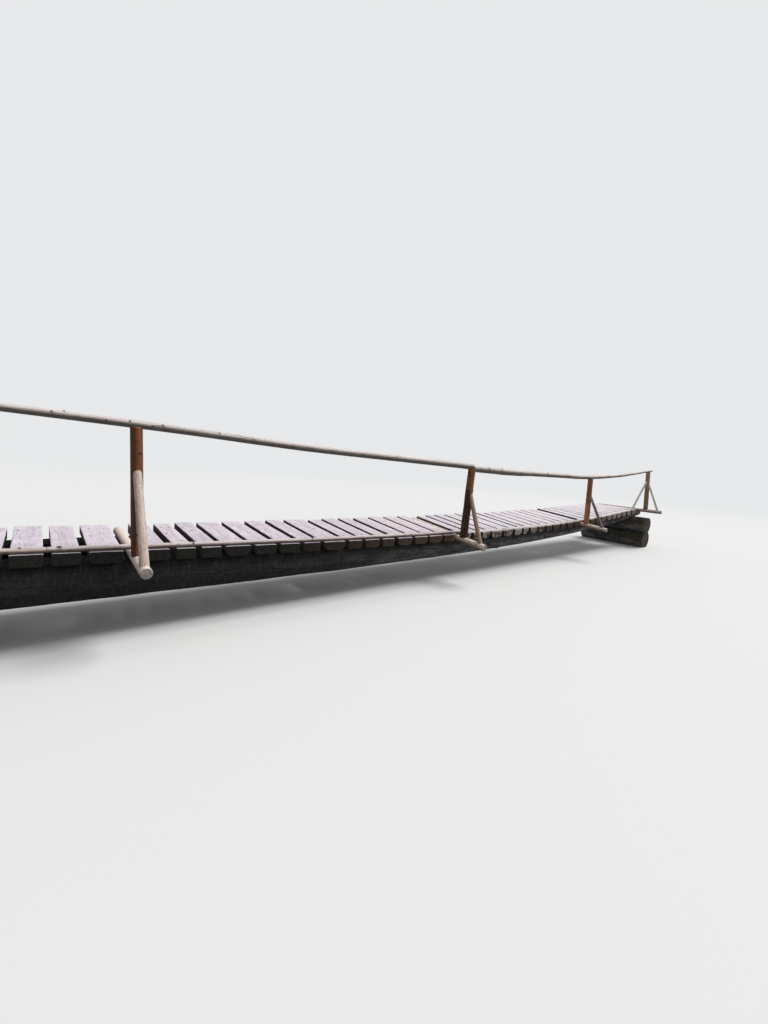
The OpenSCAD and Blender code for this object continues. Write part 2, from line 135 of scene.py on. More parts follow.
def deck_edge_height(x, sag):
    """Height of the deck's underside: a straight line between the two bearings, less
    4 s u (1 - u) (1 + k (1 - 2u)) for a sag s that is skewed by k."""
    depth, skew = sag
    near = NEAR_SLEEPERS[1][1] + NEAR_SLEEPERS[1][2] - SEAT_DEPTH
    far = FAR_SLEEPERS[1][1] + FAR_SLEEPERS[1][2] - SEAT_DEPTH
    near += log_radius(0) * (1 + np.cos(FLAT_ANGLE))
    far += log_radius(FAR_SLEEPER_X) * (1 + np.cos(FLAT_ANGLE))
    u = x / FAR_SLEEPER_X
    return near + (far - near) * u - 4 * depth * u * (1 - u) * (1 + skew * (1 - 2 * u))


RAIL_EDGE = deck_edge_height(EDGES, RAIL_SIDE_SAG)
OPEN_EDGE = deck_edge_height(EDGES, OPEN_SIDE_SAG)
SEAT_X = (EDGES[:-1] + EDGES[1:]) / 2
SEAT_Z = (RAIL_EDGE[:-1] + RAIL_EDGE[1:] + OPEN_EDGE[:-1] + OPEN_EDGE[1:]) / 4
SLOPE_ALONG = np.diff(RAIL_EDGE) / np.diff(EDGES)
SLOPE_ACROSS = (OPEN_EDGE[:-1] + OPEN_EDGE[1:] - RAIL_EDGE[:-1] - RAIL_EDGE[1:]) / 2 / DECK_WIDTH


def seat_axes(s):
    """Origin and axes (as rows) of the seat plane of segment s."""
    pitch = -np.arctan(SLOPE_ALONG[s])
    roll = np.arctan(SLOPE_ACROSS[s] * np.cos(pitch))
    ca, sa, cb, sb = np.cos(roll), np.sin(roll), np.cos(pitch), np.sin(pitch)
    axes = np.array([[cb, 0, -sb], [sa * sb, ca, sa * cb], [ca * sb, -sa, ca * cb]])
    return np.array([SEAT_X[s], 0, SEAT_Z[s]]), axes


def on_seat(s, points):
    """Moves points from the frame of segment s to the bridge's frame."""
    origin, axes = seat_axes(s)
    return origin + np.asarray(points, float) @ axes


def seat_height(s, x, y):
    return SEAT_Z[s] + SLOPE_ALONG[s] * (x - SEAT_X[s]) + SLOPE_ACROSS[s] * y


def unit(v):
    return v / np.linalg.norm(v, axis=-1, keepdims=True)


def post_foot(k):
    z = OUTRIGGER_THICK[k] - NOTCH_DEPTH - POST_FLAT
    return on_seat(POST_SEGMENT[k], [POST_PLACE[k], POST_Y, z])


def post_axis(k):
    foot = post_foot(k)
    lean = np.tan(np.radians(POST_LEAN[k]))
    return unit(np.array([lean, RAIL_INSET / (RAIL_MID_HEIGHT - foot[2]), 1]))


def rail_over_post(k):
    foot = post_foot(k)
    return foot[0] + (RAIL_MID_HEIGHT - foot[2]) * np.tan(np.radians(POST_LEAN[k]))


# Each handrail pole: ends along X, end heights, end diameters, and its natural bends
# in millimetres (sideways, upwards) at even shares of its length
RAILS = [
    dict(
        x=(rail_over_post(0) - 0.175, rail_over_post(2)), z=(2.035, 1.69), d=(0.048, 0.096),
        bends=[[0, 0], [6, -2], [0, -9], [-6, -11], [0, -28], [4, -16], [0, 0]],
    ),
    dict(
        x=(rail_over_post(2), rail_over_post(4) + 0.175), z=(1.66, 1.855), d=(0.114, 0.052),
        bends=[[0, 0], [-6, -49], [7, -75], [-8, -108], [0, -139], [6, -136], [-4, -107],
               [5, -54], [0, 0]],
    ),
]


def rail_line(n, x):
    """Centre and radius of handrail pole n at x: a straight chord plus its bends, which a
    smooth curve joins (each stretch is the cubic through four neighbouring bends)."""
    rail = RAILS[n]
    u = np.clip((x - rail["x"][0]) / (rail["x"][1] - rail["x"][0]), 0, 1)
    bends = np.array(rail["bends"], float) / 1000
    last = len(bends) - 1
    i = np.minimum((u * last).astype(int), last - 1)
    t = (u * last - i)[:, None]
    a, b, c, d = (bends[np.clip(i + k, 0, last)] for k in (-1, 0, 1, 2))
    bend = b + t * (c - a) / 2 + t**2 * (a - 2.5 * b + 2 * c - d / 2)
    bend = bend + t**3 * (1.5 * b - a / 2 - 1.5 * c + d / 2)
    z = rail["z"][0] + (rail["z"][1] - rail["z"][0]) * u
    centre = np.stack([x, RAIL_Y + bend[:, 0], z + bend[:, 1]], 1)
    return centre, (rail["d"][0] + (rail["d"][1] - rail["d"][0]) * u) / 2


# --------------------------------------------------------------- surface tools


def uneven(u, v, seed, close=64):
    """Smooth noise from -1 to 1: random heights at whole u and v, joined by 3t^2 - 2t^3.
    It repeats after `close` steps of u, so that it meets itself round a pole."""
    table = np.random.default_rng(seed).uniform(-1, 1, (64, 256))
    i, j = np.floor(u).astype(int), np.floor(v).astype(int)
    fu, fv = u - i, v - j
    fu, fv = fu * fu * (3 - 2 * fu), fv * fv * (3 - 2 * fv)
    a, b, c, d = i % close, (i + 1) % close, j % 256, (j + 1) % 256
    low = table[a, c] * (1 - fu) + table[b, c] * fu
    high = table[a, d] * (1 - fu) + table[b, d] * fu
    return low * (1 - fv) + high * fv


def ring_faces(rows, sides):
    """Quads between neighbouring rings of a closed tube, facing outwards."""
    i, j = np.meshgrid(np.arange(rows - 1), np.arange(sides), indexing="ij")
    k = (j + 1) % sides
    quads = np.stack([i * sides + j, i * sides + k, (i + 1) * sides + k, (i + 1) * sides + j], -1)
    return quads.reshape(-1, 4)


def closed_tube(rings, wood, look, rim, seed=0, rough=0.0012):
    """A stack of rings with two cut ends. At each end the outline first draws in by the
    rim, then shrinks to its middle by the shares below; the cut waves by `rough`."""
    sides = rings.shape[1]
    stack, timber, marks = [rings], [wood], [look]
    for end, inner in ((0, 1), (-1, -2)):
        ring, middle = rings[end], rings[end].mean(0)
        outward = unit(middle - rings[inner].mean(0))
        reach = np.linalg.norm(ring - middle, axis=1).mean()
        share = np.array([1 - rim / reach, 0.84, 0.6, 0.34, 0.12])[:, None, None]
        wave = rough * uneven(share[..., 0] * 7, np.arange(sides)[None] * 9 / sides, seed + 5)
        wave[0] = 0
        cap = middle + (ring - middle) * share + outward * (rim + wave[..., None])
        heart = wood[end].mean(0)
        timber_cap = heart + (wood[end] - heart) * share
        mark_cap = np.broadcast_to(look[end], cap.shape[:2] + (4,)).copy()
        mark_cap[..., 1] = 1
        if end == 0:
            cap, timber_cap, mark_cap = cap[::-1], timber_cap[::-1], mark_cap[::-1]
            stack.insert(0, cap), timber.insert(0, timber_cap), marks.insert(0, mark_cap)
        else:
            stack.append(cap), timber.append(timber_cap), marks.append(mark_cap)
    stack, timber, marks = (np.concatenate(part) for part in (stack, timber, marks))
    rows = len(stack)
    points = stack.reshape(-1, 3)
    first, last = rows * sides, rows * sides + 1
    j = np.arange(sides)
    k = (j + 1) % sides
    near_fan = np.stack([np.full(sides, first), k, j], 1)
    base = (rows - 1) * sides
    far_fan = np.stack([np.full(sides, last), base + j, base + k], 1)
    return dict(
        points=np.concatenate([points, [stack[0].mean(0), stack[-1].mean(0)]]),
        quads=ring_faces(rows, sides),
        fans=np.concatenate([near_fan, far_fan]),
        wood=np.concatenate([timber.reshape(-1, 3), [timber[0].mean(0), timber[-1].mean(0)]]),
        look=np.concatenate([marks.reshape(-1, 4), [marks[0].mean(0), marks[-1].mean(0)]]),
    )


def spaced(length, step, knots=()):
    """Distances from 0 to length by about `step`, and closer together at each knot."""
    even = np.linspace(0, length, max(int(length / step), 2) + 1)
    near = [place + size * np.linspace(-1.6, 1.6, 9) for place, _, size, _ in knots]
    return np.unique(np.clip(np.concatenate([even] + near), 0, length).round(5))


def pole(line, radius, seed, sides=28, top=(0, 0, 1), lump=0.02, lump_length=0.35, ridge=0.006,
         knots=(), flats=(), rim=0.004, tone=0.5, zone=None, step=0.03):
    """A closed natural pole carried along a line.

    A ring at distance s is centre + r (cos a * side + sin a * up), where
    r = radius (1 + lump * noise(a, s) + ridge * fine noise(a, s)) + each knot's
    height * exp(-(d / size)^2), d being the distance over the surface to the knot.
    A flat holds r to distance / cos(a - its angle).
    `line` gives centre and radius for an array of shares from 0 to 1."""
    rough_line = line(np.linspace(0, 1, 200))
    run = np.concatenate([[0], np.cumsum(np.linalg.norm(np.diff(rough_line, axis=0), axis=1))])
    s = spaced(run[-1], step, knots)
    share = np.interp(s, run, np.linspace(0, 1, 200))
    centre = line(share)
    along = unit(np.gradient(centre, s, axis=0))
    centre[0] += along[0] * rim
    centre[-1] -= along[-1] * rim
    up = np.broadcast_to(top(share) if callable(top) else np.array(top, float), centre.shape)
    up = unit(up - (up * along).sum(1, keepdims=True) * along)
    side = np.cross(up, along)
    a = np.arange(sides) * 2 * np.pi / sides
    turn = a[None] / (2 * np.pi)
    thick = radius(share)[:, None]
    wide = uneven(turn * 5, s[:, None] / lump_length, seed, 5)
    wide = wide + 0.5 * uneven(turn * 9, s[:, None] / lump_length * 2.3, seed + 1, 9)
    fine = uneven(turn * 26, s[:, None] / 0.14, seed + 2, 26)
    r = thick * (1 - lump * 0.5 + lump * 0.66 * wide + ridge * fine)
    mask = np.zeros_like(r)
    for place, angle, size, height in knots:
        swing = (a[None] - np.radians(angle) + np.pi) % (2 * np.pi) - np.pi
        gap = ((swing * thick) ** 2 + (s[:, None] - place) ** 2) / size**2
        r = r + height * np.exp(-gap)
        mask = np.maximum(mask, np.exp(-1.3 * gap))
    for angle, distance in flats:
        facing = np.cos(a[None] - np.radians(angle))
        limit = distance(share)[:, None] / np.maximum(facing, 0.05)
        r = np.where(facing > 0.05, np.minimum(r, limit), r)
    rings = centre[:, None] + r[..., None] * (
        np.cos(a)[None, :, None] * side[:, None] + np.sin(a)[None, :, None] * up[:, None]
    )
    distance = np.broadcast_to(s[:, None] + seed * 1.37, r.shape)
    wood = np.stack([distance, r * np.cos(a) + 0.08 * thick, r * np.sin(a) - 0.05 * thick], -1)
    spread = np.zeros_like(r) if zone is None else zone(s[:, None], a[None]) + np.zeros_like(r)
    look = np.stack([np.full_like(r, tone), np.zeros_like(r), mask, spread], -1)
    return closed_tube(rings, wood, look, rim, seed)


def straight(start, end):
    start, end = np.asarray(start, float), np.asarray(end, float)
    return lambda share: start + (end - start) * np.asarray(share)[:, None]


def taper(first, last):
    return lambda share: first + (last - first) * np.asarray(share)


def make_piece(name, surfaces, finish, nodes=()):
    """Joins surfaces into one smooth mesh with its attributes, riding on the root."""
    points, wood, look, corners, sizes, base = [], [], [], [], [], 0
    for surface in surfaces:
        points.append(surface["points"])
        wood.append(surface["wood"])
        look.append(surface["look"])
        for faces in (surface["quads"], surface["fans"]):
            corners.append((faces + base).ravel())
            sizes.append(np.full(len(faces), faces.shape[1]))
        base += len(surface["points"])
    points, wood, look = np.concatenate(points), np.concatenate(wood), np.concatenate(look)
    corners, sizes = np.concatenate(corners), np.concatenate(sizes)
    mesh = bpy.data.meshes.new(name)
    mesh.vertices.add(len(points))
    mesh.vertices.foreach_set("co", points.ravel().astype(np.float32))
    mesh.loops.add(len(corners))
    mesh.loops.foreach_set("vertex_index", corners.astype(np.int32))
    mesh.polygons.add(len(sizes))
    starts = np.concatenate([[0], np.cumsum(sizes)[:-1]])
    mesh.polygons.foreach_set("loop_start", starts.astype(np.int32))
    mesh.update(calc_edges=True)
    mesh.attributes.new("wood", "FLOAT_VECTOR", "POINT").data.foreach_set(
        "vector", wood.ravel().astype(np.float32))
    mesh.attributes.new("look", "FLOAT_COLOR", "POINT").data.foreach_set(
        "color", look.ravel().astype(np.float32))
    mesh.shade_smooth()
    mesh.materials.append(finish)
    piece = bpy.data.objects.new(name, mesh)
    bpy.context.scene.collection.objects.link(piece)
    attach(piece, "root")
    if nodes:
        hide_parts(*nodes)
    return piece


# ----------------------------------------------------------------- node groups


def tint(red, green, blue):
    """A colour written as it looks on a screen, 0 to 255, as the shader's linear one."""
    c = np.array([red, green, blue]) / 255
    return (*np.where(c < 0.04045, c / 12.92, ((c + 0.055) / 1.055) ** 2.4), 1.0)


class Tree:
    """Short calls that add linked nodes to one node tree."""

    def __init__(self, tree):
        self.tree = tree
        self.count = 0

    def add(self, kind, inputs=(), **settings):
        node = self.tree.nodes.new("ShaderNode" + kind)
        node.location = (self.count * 190, (self.count % 4) * -170)
        self.count += 1
        for key, value in settings.items():
            setattr(node, key, value)
        for key, value in dict(inputs).items():
            self.plug(value, node.inputs[key])
        return node

    def plug(self, value, socket):
        if isinstance(value, bpy.types.NodeSocket):
            self.tree.links.new(value, socket)
        else:
            socket.default_value = value

    def maths(self, operation, a, b=0.0, c=0.0):
        return self.add("Math", {0: a, 1: b, 2: c}, operation=operation).outputs[0]

    def step(self, value, low, high, start=0.0, end=1.0):
        """Soft step of a value from low to high, as start to end."""
        fields = {"Value": value, "From Min": low, "From Max": high, "To Min": start, "To Max": end}
        return self.add("MapRange", fields, interpolation_type="SMOOTHSTEP").outputs[0]

    def mix(self, share, a, b, way="MIX"):
        node = self.add("Mix", {0: share, 6: a, 7: b}, data_type="RGBA", blend_type=way)
        return node.outputs[2]

    def noise(self, vector, scale, detail=2.0, roughness=0.55, distortion=0.0):
        fields = {"Vector": vector, "Scale": scale, "Detail": detail, "Roughness": roughness,
                  "Distortion": distortion}
        return self.add("TexNoise", fields).outputs[0]

    def scaled(self, vector, x, y, z):
        parts = self.add("CombineXYZ", {0: x, 1: y, 2: z}).outputs[0]
        return self.add("VectorMath", {0: vector, 1: parts}, operation="MULTIPLY").outputs[0]

    def along(self, start, stop):
        """Rises from 0 to 1 along the bridge, from x = start to x = stop."""
        place = self.add("SeparateXYZ", {0: self.add("TexCoord").outputs["Object"]})
        return self.step(place.outputs[0], start, stop)

    def group(self, name, inputs):
        return self.add("Group", inputs, node_tree=bpy.data.node_groups[name]).outputs


def new_group(name, inputs, outputs):
    """A shader node group with named sockets; returns its tree, inputs and outputs."""
    group = bpy.data.node_groups.new(name, "ShaderNodeTree")
    for label, value in inputs.items():
        kind = "NodeSocketVector" if value is None else "NodeSocketFloat"
        socket = group.interface.new_socket(name=label, in_out="INPUT", socket_type=kind)
        if value is not None:
            socket.default_value = value
    for label in outputs:
        group.interface.new_socket(name=label, in_out="OUTPUT", socket_type="NodeSocketFloat")
    tree = Tree(group)
    source = group.nodes.new("NodeGroupInput")
    sink = group.nodes.new("NodeGroupOutput")
    source.location, sink.location = (-260, 0), (3200, 0)
    return tree, source.outputs, sink.inputs


def group_grain():
    """Grain: streaks and fibres drawn out along the timber, and broad patches."""
    t, i, o = new_group("Grain", {"Wood": None, "Streak Width": 0.012, "Stretch": 14.0},
                        ["Streaks", "Fibres", "Patches", "Height"])
    squeeze = t.maths("DIVIDE", 1.0, i["Stretch"])
    drawn = t.scaled(i["Wood"], squeeze, 1.0, 1.0)
    scale = t.maths("DIVIDE", 0.55, i["Streak Width"])
    streaks = t.noise(drawn, scale, 4.0, 0.6, 0.35)
    thin = t.scaled(i["Wood"], t.maths("MULTIPLY", squeeze, 0.6), 1.0, 1.0)
    fibres = t.noise(thin, 420.0, 3.0, 0.65)
    patches = t.noise(t.scaled(i["Wood"], 0.35, 1.0, 1.0), 9.0, 3.0, 0.6)
    t.plug(t.step(streaks, 0.34, 0.68), o["Streaks"])
    t.plug(t.step(fibres, 0.3, 0.7), o["Fibres"])
    t.plug(t.step(patches, 0.35, 0.66), o["Patches"])
    rise = t.maths("ADD", t.maths("MULTIPLY", streaks, 0.55), t.maths("MULTIPLY", fibres, 0.45))
    t.plug(rise, o["Height"])


def group_checks():
    """Checks: long drying cracks that follow the grain, as edges of cells drawn out along
    it, and shown only where a broad noise allows them."""
    t, i, o = new_group("Checks", {"Wood": None, "Spacing": 0.03, "Amount": 0.5},
                        ["Cracks", "Height"])
    bent = t.add("VectorMath", {0: i["Wood"], 1: (0, 0, 0)}, operation="ADD").outputs[0]
    drift = t.noise(t.scaled(bent, 1.0, 4.0, 4.0), 5.0, 2.0)
    shift = t.add("CombineXYZ", {1: t.maths("MULTIPLY", drift, 0.02), 2: 0.0}).outputs[0]
    wavy = t.add("VectorMath", {0: bent, 1: shift}, operation="ADD").outputs[0]
    drawn = t.scaled(wavy, 0.045, 1.0, 1.0)
    cells = t.add("TexVoronoi", {"Vector": drawn, "Scale": t.maths("DIVIDE", 1.0, i["Spacing"])},
                  feature="DISTANCE_TO_EDGE").outputs[0]
    line = t.step(cells, 0.008, 0.04, 1.0, 0.0)
    where = t.noise(t.scaled(i["Wood"], 0.25, 1.0, 1.0), 16.0, 2.0)
    least = t.maths("SUBTRACT", 0.78, t.maths("MULTIPLY", i["Amount"], 0.42))
    shown = t.step(where, least, t.maths("ADD", least, 0.09))
    cracks = t.maths("MULTIPLY", line, shown)
    t.plug(cracks, o["Cracks"])
    t.plug(t.maths("SUBTRACT", 1.0, cracks), o["Height"])


def group_cut_end():
    """Cut end: growth rings round the pith and splits that run out from it."""
    t, i, o = new_group("Cut End", {"Wood": None, "Ring Width": 0.006}, ["Rings", "Splits"])
    parts = t.add("SeparateXYZ", {0: i["Wood"]}).outputs
    flat = t.add("CombineXYZ", {0: parts[1], 1: parts[2], 2: 0.0}).outputs[0]
    reach = t.add("VectorMath", {0: flat}, operation="LENGTH").outputs[1]
    wander = t.maths("MULTIPLY", t.noise(flat, 22.0, 2.0), 0.012)
    turns = t.maths("DIVIDE", t.maths("ADD", reach, wander), i["Ring Width"])
    wave = t.maths("SINE", t.maths("MULTIPLY", turns, 6.2832))
    t.plug(t.step(wave, -0.7, 0.9), o["Rings"])
    angle = t.maths("ARCTAN2", parts[2], parts[1])
    spoke = t.maths("MULTIPLY", angle, 1.9)
    place = t.add("CombineXYZ", {0: spoke, 1: t.maths("MULTIPLY", reach, 3.0), 2: parts[0]}).outputs[0]
    web = t.noise(place, 1.6, 2.0, 0.4)
    near = t.maths("ABSOLUTE", t.maths("SUBTRACT", web, 0.5))
    t.plug(t.step(near, 0.004, 0.02, 1.0, 0.0), o["Splits"])


def group_knots():
    """Knots: a dark core inside a paler swirl, from the knot mask."""
    t, i, o = new_group("Knots", {"Wood": None, "Knot": 0.0}, ["Core", "Swirl"])
    speckle = t.maths("MULTIPLY", t.maths("SUBTRACT", t.noise(i["Wood"], 160.0, 2.0), 0.5), 0.3)
    mask = t.maths("ADD", i["Knot"], speckle)
    t.plug(t.step(mask, 0.42, 0.62), o["Core"])
    t.plug(t.step(mask, 0.1, 0.45), o["Swirl"])


def group_facing():
    """Facing: ragged masks of what faces the sky and what faces the ground."""
    t, i, o = new_group("Facing", {"Normal": None, "Wood": None, "Ragged": 0.35}, ["Sky", "Ground"])
    tilt = t.add("SeparateXYZ", {0: i["Normal"]}).outputs[2]
    broken = t.maths("SUBTRACT", t.noise(t.scaled(i["Wood"], 0.3, 1.0, 1.0), 30.0, 3.0), 0.5)
    lean = t.maths("MULTIPLY_ADD", broken, i["Ragged"], tilt)
    t.plug(t.step(lean, -0.08, 0.5), o["Sky"])
    t.plug(t.step(lean, 0.1, -0.42), o["Ground"])


def group_moss():
    """Moss: cushions and thin algae where a broad noise passes its amount."""
    t, i, o = new_group("Moss", {"Wood": None, "Amount": 0.4, "Sky": 0.0}, ["Cover", "Height"])
    broad = t.noise(i["Wood"], 6.0, 4.0, 0.6)
    tufts = t.noise(i["Wood"], 90.0, 3.0, 0.6)
    grown = t.maths("ADD", broad, t.maths("MULTIPLY", tufts, 0.25))
    helped = t.maths("MULTIPLY_ADD", i["Sky"], 0.1, grown)
    least = t.maths("SUBTRACT", 1.0, t.maths("MULTIPLY", i["Amount"], 0.45))
    cover = t.step(helped, least, t.maths("ADD", least, 0.14))
    t.plug(cover, o["Cover"])
    t.plug(t.maths("MULTIPLY", cover, tufts), o["Height"])


def group_saw_marks():
    """Saw marks: shallow lines across the grain that come and go over the face."""
    t, i, o = new_group("Saw Marks", {"Wood": None, "Spacing": 0.011}, ["Marks", "Height"])
    waves = t.maths("DIVIDE", 0.318, i["Spacing"])
    lines = t.add("TexWave", {"Vector": i["Wood"], "Scale": waves, "Distortion": 1.6, "Detail": 2.0,
                              "Detail Scale": 1.4}, bands_direction="X").outputs[1]
    scratch = t.noise(t.scaled(i["Wood"], 1.0, 0.16, 0.16), 95.0, 2.0, 0.6)
    broken = t.noise(t.scaled(i["Wood"], 1.0, 0.6, 0.6), 13.0, 2.0)
    both = t.maths("ADD", t.maths("MULTIPLY", lines, 0.4), t.maths("MULTIPLY", scratch, 0.8))
    marks = t.maths("MULTIPLY", t.step(both, 0.45, 0.8), t.step(broken, 0.36, 0.6))
    t.plug(marks, o["Marks"])
    t.plug(both, o["Height"])


def group_bark():
    """Bark: scaly plates drawn out along the stem, with dark furrows between them."""
    t, i, o = new_group("Bark", {"Wood": None, "Plate": 0.02}, ["Plates", "Furrows"])
    warp = t.noise(i["Wood"], 30.0, 3.0)
    shift = t.add("CombineXYZ", {0: t.maths("MULTIPLY", warp, 0.03), 1: t.maths("MULTIPLY", warp, 0.012)})
    moved = t.add("VectorMath", {0: i["Wood"], 1: shift.outputs[0]}, operation="ADD").outputs[0]
    drawn = t.scaled(moved, 0.4, 1.0, 1.0)
    cells = t.add("TexVoronoi", {"Vector": drawn, "Scale": t.maths("DIVIDE", 1.0, i["Plate"])},
                  feature="DISTANCE_TO_EDGE").outputs[0]
    t.plug(t.step(cells, 0.0, 0.22), o["Plates"])
    t.plug(t.step(cells, 0.02, 0.12, 1.0, 0.0), o["Furrows"])


for build_group in (group_grain, group_checks, group_cut_end, group_knots, group_facing,
                    group_moss, group_saw_marks, group_bark):
    build_group()


# -------------------------------------------------------------------- finishes


def new_finish(name):
    """An empty material with its attributes read: tree, shader, wood, look masks."""
    finish = bpy.data.materials.new(name)
    finish.use_nodes = True
    finish.node_tree.nodes.clear()
    t = Tree(finish.node_tree)
    shader = t.add("BsdfPrincipled", {"Specular IOR Level": 0.3})
    sink = t.add("OutputMaterial", {"Surface": shader.outputs[0]})
    shader.location, sink.location = (4200, 0), (4500, 0)
    wood = t.add("Attribute", attribute_name="wood").outputs["Vector"]
    look = t.add("Attribute", attribute_name="look")
    masks = t.add("SeparateColor", {0: look.outputs["Color"]}).outputs
    return finish, t, shader, wood, masks, look.outputs["Alpha"]


def bumped(t, shader, layers):
    """Chains one Bump for each (height, distance, strength) into the shader's Normal."""
    normal = None
    for height, distance, strength in layers:
        fields = {"Height": height, "Distance": distance, "Strength": strength}
        if normal is not None:
            fields["Normal"] = normal
        normal = t.add("Bump", fields).outputs[0]
    t.plug(normal, shader.inputs["Normal"])


def plank_finish():
    """Half-round planks: a sawn, bleached face over a dark round back."""
    finish, t, shader, wood, masks, sawn = new_finish("weathered_plank")
    tone, cut, knot = masks[0], masks[1], masks[2]
    grain = t.group("Grain", {"Wood": wood, "Streak Width": 0.016, "Stretch": 16.0})
    checks = t.group("Checks", {"Wood": wood, "Spacing": 0.04, "Amount": 0.22})
    saw = t.group("Saw Marks", {"Wood": wood, "Spacing": 0.014})
    cut_end = t.group("Cut End", {"Wood": wood, "Ring Width": 0.006})
    knots = t.group("Knots", {"Wood": wood, "Knot": knot})
    bark = t.group("Bark", {"Wood": wood, "Plate": 0.03})
    shade = t.add("ValToRGB", {0: tone})
    stops = shade.color_ramp.elements
    stops[0].position, stops[0].color = 0.0, tint(206, 203, 214)
    stops[1].position, stops[1].color = 1.0, tint(230, 212, 218)
    middle = stops.new(0.5)
    middle.color = tint(224, 215, 226)
    face = t.mix(t.maths("MULTIPLY", grain["Streaks"], 0.34), shade.outputs[0], tint(178, 167, 178))
    face = t.mix(t.maths("MULTIPLY", grain["Patches"], 0.3), face, tint(190, 174, 180))
    face = t.mix(t.maths("MULTIPLY", saw["Marks"], 0.58), face, tint(152, 140, 156))
    face = t.mix(t.maths("MULTIPLY", grain["Fibres"], 0.2), face, tint(238, 230, 238))
    face = t.mix(t.maths("MULTIPLY", t.along(6.0, 11.0), 0.55), face, tint(240, 235, 240))
    face = t.mix(t.maths("MULTIPLY", knots["Swirl"], 0.4), face, tint(158, 132, 118))
    face = t.mix(t.maths("MULTIPLY", knots["Core"], 0.85), face, tint(82, 64, 54))
    face = t.mix(t.maths("MULTIPLY", checks["Cracks"], 0.7), face, tint(70, 62, 62))
    back = t.mix(bark["Plates"], tint(30, 27, 24), tint(66, 58, 50))
    back = t.mix(t.maths("MULTIPLY", grain["Patches"], 0.7), back, tint(46, 45, 40))
    back = t.mix(t.maths("MULTIPLY", grain["Streaks"], 0.4), back, tint(84, 75, 66))
    border = t.maths("MULTIPLY_ADD", t.maths("SUBTRACT", grain["Streaks"], 0.5), 0.24, sawn)
    sides = t.mix(t.step(border, 0.46, 0.72), back, face)
    # Cut ends: dark old end grain with painted shade added, darkest on the near planks before x = 5; paler
    # ends further on.
    ends = t.mix(cut_end["Rings"], tint(24, 25, 22), tint(44, 42, 37))
    ends = t.mix(t.maths("MULTIPLY", grain["Patches"], 0.75), ends, tint(26, 28, 25))
    ends = t.mix(t.maths("MULTIPLY", t.along(5.0, 7.5), 0.6), ends, tint(104, 82, 68))
    fresh = t.maths("MULTIPLY", t.along(7.7, 8.0), t.maths("SUBTRACT", 1.0, t.along(9.4, 10.6)))
    fresh = t.maths("MULTIPLY", fresh, t.step(grain["Patches"], 0.1, 0.5))
    ends = t.mix(t.maths("MULTIPLY", fresh, 0.8), ends, tint(186, 180, 172))
    ends = t.mix(t.maths("MULTIPLY", t.along(11.9, 13.3), 0.7), ends, tint(178, 166, 164))
    ends = t.mix(t.maths("MULTIPLY", cut_end["Splits"], 0.9), ends, tint(16, 15, 14))
    t.plug(t.mix(t.step(cut, 0.3, 0.75), sides, ends), shader.inputs["Base Color"])
    rough = t.maths("MULTIPLY_ADD", grain["Streaks"], 0.16, 0.7)
    t.plug(t.maths("MULTIPLY_ADD", checks["Cracks"], 0.12, rough), shader.inputs["Roughness"])
    bumped(t, shader, [
        (grain["Height"], 0.004, 0.55), (saw["Height"], 0.0016, 0.6), (checks["Height"], 0.004, 0.8),
        (t.mix(sawn, bark["Plates"], (0.6, 0.6, 0.6, 1)), 0.006, 0.6),
        (t.maths("MULTIPLY", cut_end["Splits"], -1.0), 0.004, 0.8),
    ])
    return finish


